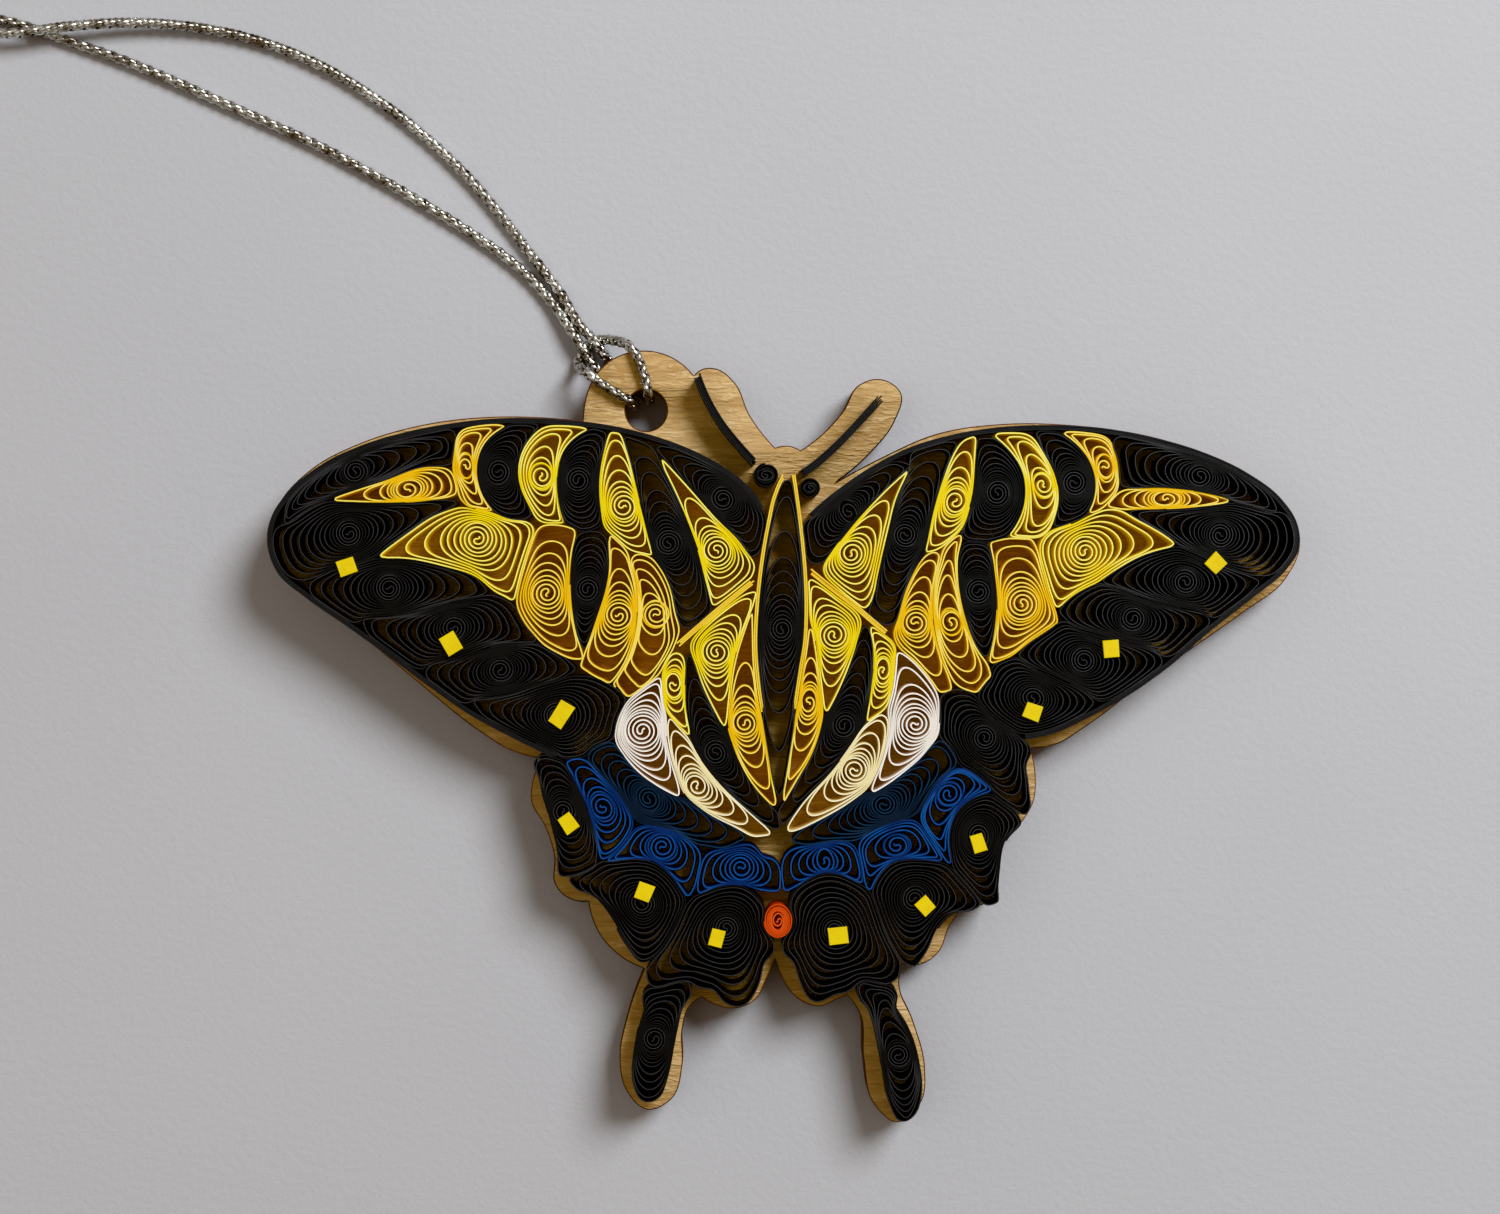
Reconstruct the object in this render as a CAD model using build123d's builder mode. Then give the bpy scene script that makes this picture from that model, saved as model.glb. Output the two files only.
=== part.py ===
from build123d import *
import math
import os

# Driving sizes, in millimetres
wing_span = 103.8
board_thickness = 3.0
strip_width = 3.0
paper_thickness = 0.25
border_thickness = 0.5
body_edge_thickness = 0.34
hindwing_edge_thickness = 0.5
antenna_thickness = 0.75
left_eye_radius = 1.2
right_eye_radius = 1.0
orange_half_width = 1.42
orange_half_height = 1.68
square_thickness = 0.4
hole_radius = 2.08

# The hanging cord, and the room that it has beside the board's edges
cord_diameter = 1.0
cord_clearance = 0.15
fold_radius = 1.0
knot_belly_radius = 1.45
knot_waist_radius = 1.12
knot_length = 3.4

# How a cord's corners are rounded: each arc takes this share of the shorter run, and a turn
# sharper than the fold, in degrees, goes round an edge and takes the fold's own radius
arc_share = 0.45
fold_turn = 55

# The board's smooth edges are cut into straight facets of about this length, and the cord and
# its knot have this many sides
facet_length = 2.6
cord_sides = 6
knot_sides = 10

# How each strip coils inside its own outline, as shares of the way from the outline to the eye
coil_turns = 1.0
coil_start_share = 0.1
coil_end_share = 0.72
mitre_share = 0.22
round_facets = 10

share = wing_span / 100
pinch = 1

# The outline of the wooden board, in hundredths of the wing span.  Each stretch is one
# smooth edge, and stretches meet in the notches between the wings, tails and antennae.
board_outline_shares = [
    [(-19.5, 30.6), (-19.3, 32.6), (-18.4, 34.9), (-16.8, 36.5), (-14.1, 37.4), (-11.4, 37.0), (-8.8, 35.0)],
    [(-8.8, 35.0), (-8.1, 35.6), (-6.7, 35.7), (-4.9, 34.4), (-3.4, 31.2), (-0.95, 28.05)],
    [(-0.95, 28.05), (0.3, 28.25), (1.5, 27.8)],
    [(1.5, 27.8), (5.6, 31.6), (7.1, 34.1), (9.2, 34.7), (11.2, 33.4), (10.6, 30.6), (8.4, 27.7), (4.7, 24.6)],
    [(4.7, 24.6), (9.2, 27.05), (14.6, 29.4), (21.4, 30.4), (28.1, 30.25), (36.2, 29.0), (41.7, 27.1),
     (45.8, 24.8), (48.9, 21.8), (49.95, 18.6), (48.5, 15.3), (44.4, 12.1), (39.0, 8.3), (33.9, 4.6),
     (28.9, 0.9), (26.4, -0.6), (23.8, -1.0)],
    [(23.8, -1.0), (24.3, -3.6), (24.1, -6.2), (22.8, -8.4), (21.2, -10.0), (20.8, -13.0), (20.2, -15.6)],
    [(20.2, -15.6), (18.8, -16.3), (17.4, -16.3)],
    [(17.4, -16.3), (16.0, -18.2), (14.9, -20.8), (13.4, -21.9), (11.4, -21.9)],
    [(11.4, -21.9), (11.1, -23.9), (12.4, -27.3), (13.6, -32.0), (13.2, -35.4), (10.9, -37.3), (8.7, -35.6),
     (7.6, -31.0), (7.2, -26.6), (6.0, -24.9)],
    [(6.0, -24.9), (4.9, -25.4), (3.4, -26.0), (1.3, -25.3), (-0.2, -23.4), (-0.95, -21.4)],
    [(-0.95, -21.4), (-1.8, -23.4), (-2.9, -25.4), (-4.9, -26.2), (-6.6, -25.9), (-8.0, -25.1)],
    [(-8.0, -25.1), (-9.2, -26.0), (-9.9, -28.2), (-9.9, -31.6), (-11.0, -35.0), (-13.3, -36.0),
     (-15.3, -34.2), (-16.0, -30.8), (-15.3, -27.0), (-13.6, -22.3)],
    [(-13.6, -22.3), (-15.8, -21.2), (-17.9, -19.0), (-19.0, -15.8)],
    [(-19.0, -15.8), (-20.9, -15.5), (-22.2, -14.2), (-22.3, -11.4), (-23.2, -8.5), (-24.5, -6.1),
     (-24.3, -3.8), (-23.5, -1.95)],
    [(-23.5, -1.95), (-26.4, -1.2), (-29.6, 0.75), (-34.7, 4.8), (-38.4, 7.9), (-42.1, 10.9),
     (-46.7, 14.1), (-49.3, 17.0), (-49.9, 19.8), (-48.6, 22.9), (-45.6, 26.0), (-40.6, 28.6),
     (-35.1, 30.2), (-28.7, 31.0), (-24.0, 31.0), (-19.5, 30.6)],
]
hole_centre_shares = (-13.4, 31.65)

# Every coil is its eye and then its outline, in hundredths of the wing span.
# A point marked pinch is a corner squeezed sharp between the fingers.
left_forewing_coil_shares = {
    "left_upper_leaf": [
        ((-36.0, 23.9), [(-43.2, 22.9, pinch), (-38.5, 24.5), (-33.4, 25.9), (-31.9, 25.3),
                         (-31.6, 23.6, pinch), (-35.5, 22.85), (-39.5, 22.75)]),
    ],
    "left_slim_crescent": [
        ((-30.5, 26.1), [(-26.8, 29.85, pinch), (-29.4, 29.8), (-31.0, 28.9), (-31.5, 26.6),
                         (-31.3, 24.6), (-30.1, 22.4, pinch), (-28.0, 21.9, pinch), (-29.2, 23.9),
                         (-29.5, 26.2), (-28.7, 28.4)]),
    ],
    "left_broad_crescent": [
        ((-23.3, 25.2), [(-19.0, 29.6, pinch), (-21.6, 29.85), (-24.1, 28.8), (-25.4, 26.3),
                         (-25.1, 23.8), (-23.5, 21.6), (-21.2, 20.8, pinch), (-21.8, 23.2),
                         (-21.85, 25.6), (-21.3, 27.6)]),
    ],
    "left_upright_leaf": [
        ((-15.5, 22.3), [(-16.6, 29.15, pinch), (-17.3, 27.2), (-17.7, 24.3), (-17.4, 21.6),
                         (-16.4, 19.9), (-14.6, 18.6), (-12.8, 17.7, pinch), (-13.7, 21.4),
                         (-14.5, 24.9), (-15.3, 27.8), (-15.9, 29.1, pinch)]),
    ],
    "left_shoulder_teardrop": [
        ((-6.6, 18.1), [(-12.0, 27.0, pinch), (-9.5, 24.2), (-6.6, 20.9), (-4.3, 18.6), (-3.4, 16.8),
                        (-3.5, 15.6, pinch), (-5.3, 14.2), (-6.9, 13.0, pinch), (-7.5, 15.0),
                        (-8.5, 18.8), (-10.0, 22.9)]),
    ],
    "left_great_fan": [
        ((-29.4, 19.2), [(-38.6, 17.5, pinch), (-35.8, 19.7), (-32.9, 21.6), (-30.0, 21.95),
                         (-26.9, 21.1), (-24.6, 20.1), (-24.7, 18.4), (-25.4, 16.0),
                         (-26.1, 13.5, pinch), (-28.4, 15.5), (-32.0, 16.7), (-35.6, 17.5)]),
    ],
    "left_tall_shield": [
        ((-22.8, 14.0), [(-19.5, 7.9, pinch), (-20.2, 10.6), (-20.6, 14.0), (-20.5, 17.6),
                         (-20.1, 20.2, pinch), (-22.3, 20.3), (-24.0, 18.7), (-24.9, 16.2),
                         (-25.3, 13.6), (-24.6, 11.3), (-22.4, 9.0)]),
    ],
    "left_inner_blade": [
        ((-16.0, 11.9), [(-16.8, 19.4, pinch), (-16.7, 17.6), (-17.0, 14.9), (-18.1, 11.4),
                         (-19.1, 8.2), (-19.4, 7.1, pinch), (-17.6, 6.2), (-16.9, 5.6, pinch),
                         (-15.7, 7.2), (-14.7, 9.8), (-14.3, 12.6), (-14.6, 15.4), (-15.6, 17.8)]),
    ],
    "left_inner_petal": [
        ((-12.4, 12.0), [(-16.3, 5.3, pinch), (-15.3, 6.8), (-14.3, 9.6), (-13.95, 12.5),
                         (-14.2, 15.6), (-14.5, 17.4), (-13.4, 17.5), (-12.0, 16.2), (-11.1, 14.4),
                         (-10.7, 11.8), (-11.1, 9.0), (-12.3, 6.4), (-15.0, 4.3, pinch)]),
    ],
    "left_forewing_fillers": [
        ((-41.0, 25.6), [(-47.6, 20.6, pinch), (-46.3, 22.9), (-43.2, 25.7), (-38.6, 27.6),
                         (-34.0, 28.9), (-32.1, 28.8), (-32.0, 27.4), (-32.0, 26.5, pinch),
                         (-33.8, 26.3), (-37.5, 25.2), (-41.5, 24.0), (-44.9, 22.9)]),
        ((-27.4, 25.6), [(-23.7, 29.9, pinch), (-24.9, 28.8), (-25.7, 26.7), (-25.7, 24.6),
                         (-25.1, 22.8), (-24.4, 21.5, pinch), (-26.0, 21.3), (-27.5, 21.9, pinch),
                         (-28.8, 23.6), (-29.2, 25.9), (-28.4, 28.4), (-26.6, 29.7)]),
        ((-19.8, 24.8), [(-17.3, 29.1, pinch), (-17.8, 27.2), (-18.1, 24.9), (-18.0, 22.5),
                         (-17.9, 20.5, pinch), (-19.5, 20.4), (-20.9, 20.7, pinch), (-21.4, 22.8),
                         (-21.5, 25.5), (-20.9, 27.5), (-19.2, 29.0)]),
        ((-11.2, 18.8), [(-15.3, 28.8, pinch), (-13.3, 26.9), (-12.0, 25.0), (-10.7, 22.6),
                         (-9.4, 19.7), (-8.4, 16.9), (-7.8, 14.1), (-7.3, 12.4, pinch), (-8.8, 11.6),
                         (-10.1, 12.2), (-10.6, 14.4), (-11.6, 16.8), (-12.7, 18.6), (-13.3, 21.0),
                         (-14.1, 24.4), (-14.8, 27.2)]),
        ((-6.0, 23.0), [(-12.2, 27.9, pinch), (-9.0, 26.6), (-5.9, 24.8), (-3.6, 22.4), (-2.6, 20.1),
                        (-2.8, 18.2), (-3.3, 17.6, pinch), (-4.2, 19.1), (-6.5, 21.6), (-9.3, 24.8)]),
        ((-18.9, 14.4), [(-18.8, 19.1), (-17.5, 18.3), (-17.1, 16.3), (-17.5, 13.8), (-18.3, 11.2),
                         (-19.2, 8.9, pinch), (-19.8, 11.0), (-20.2, 14.0), (-20.2, 17.0),
                         (-19.8, 18.6)]),
    ],
    "left_forewing_margin": [
        ((-41.6, 19.7), [(-31.5, 22.6, pinch), (-35.0, 22.2), (-39.0, 22.3), (-43.5, 22.2),
                         (-46.6, 20.6), (-48.1, 18.6), (-47.8, 16.9), (-45.9, 15.4, pinch),
                         (-43.6, 16.4), (-40.5, 17.4), (-37.4, 19.3), (-34.4, 21.2)]),
        ((-37.8, 14.5), [(-28.6, 14.2, pinch), (-31.8, 13.5), (-35.5, 12.3), (-39.5, 12.0),
                         (-42.8, 12.7), (-44.4, 14.1), (-43.6, 15.6), (-40.6, 16.4), (-37.6, 16.8),
                         (-33.6, 16.1), (-30.4, 15.2)]),
        ((-31.7, 10.7), [(-40.2, 11.5, pinch), (-36.6, 11.7), (-33.0, 12.7), (-29.5, 13.1),
                         (-26.6, 12.1), (-25.4, 10.5), (-23.8, 9.5, pinch), (-27.0, 9.7),
                         (-30.5, 8.4), (-34.0, 7.7), (-36.7, 8.5), (-38.7, 9.8)]),
        ((-27.2, 6.7), [(-20.2, 6.8, pinch), (-23.2, 5.8), (-26.2, 4.6), (-29.0, 4.2), (-31.4, 4.9),
                        (-33.3, 6.2), (-33.5, 7.0), (-31.6, 7.4), (-28.6, 8.5), (-25.2, 8.7),
                        (-22.4, 7.8)]),
        ((-21.9, 2.3), [(-29.8, 3.75, pinch), (-26.6, 4.0), (-23.4, 4.9), (-20.0, 5.1), (-17.4, 4.8),
                        (-15.9, 3.9), (-16.6, 2.1), (-16.9, 0.5), (-18.4, -0.7), (-20.6, -1.05),
                        (-23.6, -0.1), (-26.8, 1.8)]),
    ],
}

right_forewing_coil_shares = {
    "right_upper_leaf": [
        ((36.4, 23.05), [(30.9, 22.45, pinch), (32.0, 23.4), (34.4, 24.0), (38.4, 23.8),
                         (42.4, 22.9, pinch), (38.6, 22.3), (34.6, 22.15)]),
    ],
    "right_slim_crescent": [
        ((30.5, 26.1), [(26.6, 29.3, pinch), (28.4, 29.25), (30.2, 28.6), (31.5, 26.9), (31.7, 25.0),
                        (31.0, 23.1), (29.1, 21.8, pinch), (29.6, 23.3), (29.7, 25.2), (29.1, 26.9),
                        (27.9, 28.3)]),
    ],
    "right_broad_crescent": [
        ((24.6, 24.4), [(20.1, 29.1, pinch), (22.6, 28.8), (24.6, 27.0), (25.8, 24.6), (25.9, 22.2),
                        (24.6, 20.2), (21.5, 19.6, pinch), (22.5, 21.2), (23.0, 23.6), (22.6, 26.0),
                        (21.4, 27.8)]),
    ],
    "right_upright_leaf": [
        ((16.2, 22.8), [(18.0, 28.8, pinch), (16.5, 27.8), (15.2, 25.0), (14.2, 21.9), (13.7, 19.6),
                        (13.4, 18.0, pinch), (15.0, 18.9), (16.7, 20.4), (17.6, 22.8), (17.95, 26.0)]),
    ],
    "right_shoulder_teardrop": [
        ((6.3, 17.8), [(11.9, 25.9, pinch), (9.0, 23.2), (6.3, 20.2), (4.5, 17.6), (4.2, 16.1),
                       (5.0, 14.7), (7.5, 12.7, pinch), (8.2, 13.5), (8.7, 15.8), (9.6, 19.9),
                       (10.6, 23.6)]),
    ],
    "right_great_fan": [
        ((28.6, 18.0), [(37.0, 18.7, pinch), (34.0, 20.7), (31.3, 21.85), (28.6, 21.1), (25.9, 19.8),
                        (24.7, 17.9), (25.1, 15.6), (26.0, 12.8, pinch), (27.8, 14.2), (30.6, 15.7),
                        (33.8, 17.6)]),
    ],
    "right_tall_shield": [
        ((22.6, 13.0), [(19.7, 18.8, pinch), (21.4, 19.1), (23.4, 19.0, pinch), (24.2, 16.6),
                        (25.0, 13.8), (25.8, 11.3, pinch), (23.4, 9.6), (19.7, 7.5, pinch),
                        (20.0, 9.8), (20.3, 13.4), (20.0, 16.6)]),
    ],
    "right_inner_blade": [
        ((15.8, 11.2), [(16.6, 19.4, pinch), (15.5, 18.4), (14.6, 16.0), (14.3, 12.6), (14.7, 9.6),
                        (15.7, 6.9), (18.2, 4.7, pinch), (19.6, 6.1, pinch), (18.6, 7.7),
                        (17.3, 10.8), (16.5, 14.0), (16.3, 17.0)]),
    ],
    "right_inner_petal": [
        ((12.4, 11.2), [(14.6, 17.8), (14.2, 16.2), (13.8, 13.4), (14.0, 10.4), (14.8, 7.3),
                        (15.7, 4.9, pinch), (14.8, 4.7, pinch), (14.0, 5.9), (12.9, 7.3), (11.5, 8.9),
                        (11.0, 11.0), (11.2, 13.2), (12.1, 15.6), (13.3, 17.4)]),
    ],
    "right_forewing_fillers": [
        ((39.6, 25.2), [(32.3, 28.5), (35.6, 27.8), (39.6, 26.6), (43.4, 24.9), (46.0, 22.9),
                        (46.9, 21.9, pinch), (44.6, 22.8), (42.5, 23.5), (38.6, 24.2), (34.6, 24.4),
                        (32.2, 24.4, pinch), (32.1, 26.5)]),
        ((27.6, 24.6), [(24.1, 29.3, pinch), (26.0, 29.2, pinch), (27.4, 28.2), (28.6, 26.4),
                        (29.2, 24.6), (29.1, 22.9), (28.6, 21.7, pinch), (27.2, 20.9),
                        (25.8, 20.6, pinch), (26.3, 22.4), (26.3, 24.6), (25.6, 26.9), (24.9, 28.2)]),
        ((20.2, 23.6), [(18.5, 28.6, pinch), (19.8, 28.6, pinch), (21.1, 27.4), (22.2, 25.8),
                        (22.6, 23.6), (22.0, 21.3), (20.9, 19.9), (19.0, 19.4), (17.5, 19.6),
                        (17.7, 20.9), (18.05, 22.9), (18.3, 26.0)]),
        ((11.4, 19.6), [(16.2, 28.2, pinch), (14.9, 25.7), (13.9, 21.9), (13.2, 18.4), (11.7, 15.4),
                        (10.8, 13.0), (10.3, 11.4, pinch), (8.9, 11.7), (8.6, 13.2), (9.3, 16.6),
                        (10.2, 20.0), (11.1, 23.4), (12.3, 26.2), (14.1, 27.9)]),
        ((6.0, 21.8), [(11.8, 26.2, pinch), (9.2, 25.7), (6.4, 23.9), (3.8, 21.8), (2.4, 19.8),
                       (2.2, 18.2), (2.8, 17.8), (4.3, 18.8), (6.6, 21.2), (9.1, 23.9)]),
        ((18.4, 14.2), [(18.0, 18.6), (19.2, 17.8), (19.6, 15.6), (19.8, 12.6), (19.45, 9.8),
                        (19.1, 8.1, pinch), (18.1, 10.1), (17.2, 12.9), (16.8, 15.8), (17.0, 17.9)]),
    ],
    "right_forewing_margin": [
        ((41.6, 19.6), [(32.9, 21.7, pinch), (37.5, 21.8), (42.0, 22.0), (45.4, 21.7), (47.8, 20.1),
                        (48.2, 18.0), (47.1, 16.5), (45.9, 15.9, pinch), (43.2, 16.6), (40.0, 18.0),
                        (36.8, 20.0)]),
        ((38.2, 15.1), [(30.4, 15.2, pinch), (32.9, 16.8), (36.0, 17.7), (39.2, 17.4), (42.4, 15.9),
                        (45.2, 15.1, pinch), (43.8, 14.1), (41.4, 12.5), (38.4, 12.7), (35.2, 13.5),
                        (32.4, 14.7)]),
        ((33.2, 11.6), [(26.4, 12.3, pinch), (28.5, 13.9), (31.0, 14.3), (34.4, 13.2), (38.0, 12.2),
                        (40.1, 11.5), (38.6, 10.1), (36.2, 8.9), (33.4, 9.3), (30.4, 10.5),
                        (27.8, 11.3)]),
        ((28.5, 7.6), [(22.4, 8.1, pinch), (24.4, 9.5), (26.8, 10.5), (29.6, 9.9), (32.6, 8.8),
                       (35.0, 8.2), (35.2, 7.3), (33.2, 5.9), (30.6, 4.7), (28.0, 5.4), (25.0, 6.8)]),
        ((23.6, 4.0), [(18.6, 4.1, pinch), (20.1, 6.1), (21.9, 7.0), (24.6, 6.1), (27.4, 4.8),
                       (29.3, 3.6, pinch), (27.4, 2.3), (24.4, 1.3), (21.6, 1.5), (19.8, 2.7)]),
    ],
}

left_hindwing_coil_shares = {
    "left_inner_teardrop": [
        ((-6.6, 8.4), [(-2.95, 14.0, pinch), (-5.2, 12.9), (-7.9, 10.6), (-8.6, 8.7), (-8.1, 5.8),
                       (-6.9, 3.1), (-5.9, 1.3, pinch), (-5.5, 4.2), (-5.1, 7.4), (-4.1, 10.8)]),
    ],
    "left_slender_blade": [
        ((-3.9, 1.6), [(-3.25, 12.0, pinch), (-3.9, 10.2), (-4.8, 7.2), (-5.2, 4.2), (-5.2, 0.8),
                       (-4.2, -2.4), (-2.5, -5.0), (-1.1, -6.2, pinch), (-1.6, -3.2), (-2.3, 0.8),
                       (-2.9, 4.4), (-3.25, 8.8)]),
    ],
    "left_small_leaf": [
        ((-10.7, 5.3), [(-10.6, 8.0), (-9.9, 7.4), (-9.7, 5.6), (-9.7, 3.2), (-9.2, 0.5, pinch),
                        (-10.4, 1.7), (-11.35, 3.0), (-11.6, 5.3), (-11.4, 7.0)]),
    ],
    "left_dark_leaf": [
        ((-6.7, -1.2), [(-9.2, 8.0, pinch), (-9.35, 5.0), (-8.9, 1.8), (-8.0, -1.2), (-6.1, -4.2),
                        (-3.3, -6.7), (-0.7, -8.4, pinch), (-1.9, -6.4), (-3.9, -3.4),
                        (-5.6, -0.3), (-7.3, 3.2), (-8.6, 6.2)]),
    ],
    "left_white_petal": [
        ((-13.7, 0.9), [(-12.1, 5.8, pinch), (-14.2, 4.4), (-15.7, 2.4), (-16.1, 0.2), (-15.0, -2.0),
                        (-12.4, -4.2), (-10.2, -5.4, pinch), (-11.1, -2.4), (-11.6, 0.6),
                        (-11.8, 3.6)]),
    ],
    "left_cream_petal": [
        ((-8.5, -4.4), [(-11.0, 2.0, pinch), (-9.7, 0.4), (-8.2, -2.0), (-5.7, -4.9), (-3.0, -7.45),
                        (-1.6, -8.9, pinch), (-4.0, -8.3), (-7.0, -7.0), (-9.3, -4.8),
                        (-10.6, -1.8), (-11.1, 0.6)]),
    ],
    "left_navy_leaf": [
        ((-13.1, -5.6), [(-18.4, -0.8), (-17.1, -0.5), (-15.6, -1.8), (-13.4, -4.1), (-10.3, -6.1),
                         (-7.2, -7.9), (-4.0, -9.3, pinch), (-7.2, -9.2), (-10.4, -8.2),
                         (-13.8, -6.8), (-16.0, -4.8), (-18.0, -2.5)]),
    ],
    "left_blue_row": [
        ((-17.5, -6.4), [(-20.9, -2.2, pinch), (-19.6, -2.0), (-17.7, -3.4), (-15.9, -5.4),
                         (-15.1, -7.7), (-15.7, -9.7), (-17.5, -11.2, pinch), (-18.0, -8.8),
                         (-19.0, -5.6)]),
        ((-11.8, -10.2), [(-17.0, -11.5, pinch), (-15.5, -10.5), (-14.5, -9.2), (-12.3, -8.5),
                          (-10.1, -9.3), (-8.9, -11.2), (-8.8, -13.0), (-9.4, -14.8, pinch),
                          (-10.7, -12.9), (-12.8, -11.3), (-15.0, -11.15)]),
        ((-4.3, -12.2), [(-8.2, -14.6, pinch), (-7.9, -12.9), (-7.1, -11.6), (-5.4, -10.9),
                         (-3.2, -11.0), (-1.4, -12.2), (-0.7, -14.3, pinch), (-2.6, -13.7),
                         (-4.6, -13.3), (-6.7, -13.8)]),
    ],
    "left_hindwing_margin": [
        ((-21.2, -6.8), [(-22.6, -2.0), (-21.4, -2.5), (-20.7, -4.4), (-19.4, -7.2), (-18.7, -9.8),
                         (-18.3, -11.8, pinch), (-19.6, -12.5), (-21.4, -12.8, pinch),
                         (-21.9, -10.2), (-22.8, -6.8), (-23.4, -4.6), (-23.3, -2.9)]),
        ((-13.7, -15.6), [(-20.6, -13.3, pinch), (-18.0, -12.6), (-15.0, -11.9), (-12.5, -12.4),
                          (-10.8, -14.1), (-10.4, -16.2), (-11.2, -18.6), (-12.5, -20.4),
                          (-13.7, -21.0, pinch), (-15.3, -19.6), (-16.6, -17.2), (-18.2, -15.0)]),
        ((-5.7, -18.0), [(-9.3, -15.9, pinch), (-6.6, -14.7), (-3.9, -15.2), (-2.5, -17.5),
                         (-2.1, -20.6), (-2.6, -23.6), (-4.3, -25.6), (-6.0, -25.1), (-7.0, -23.5),
                         (-8.4, -22.3), (-10.6, -22.8), (-12.5, -23.1), (-13.1, -22.1, pinch),
                         (-12.0, -20.8), (-10.5, -18.6)]),
        ((-12.6, -28.6), [(-9.4, -23.2, pinch), (-9.9, -25.6), (-10.6, -29.0), (-11.3, -32.4),
                          (-12.2, -34.4), (-13.6, -34.7), (-14.6, -33.0), (-14.6, -30.0),
                          (-13.9, -26.9), (-12.6, -24.6), (-10.8, -23.6)]),
    ],
}

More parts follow.
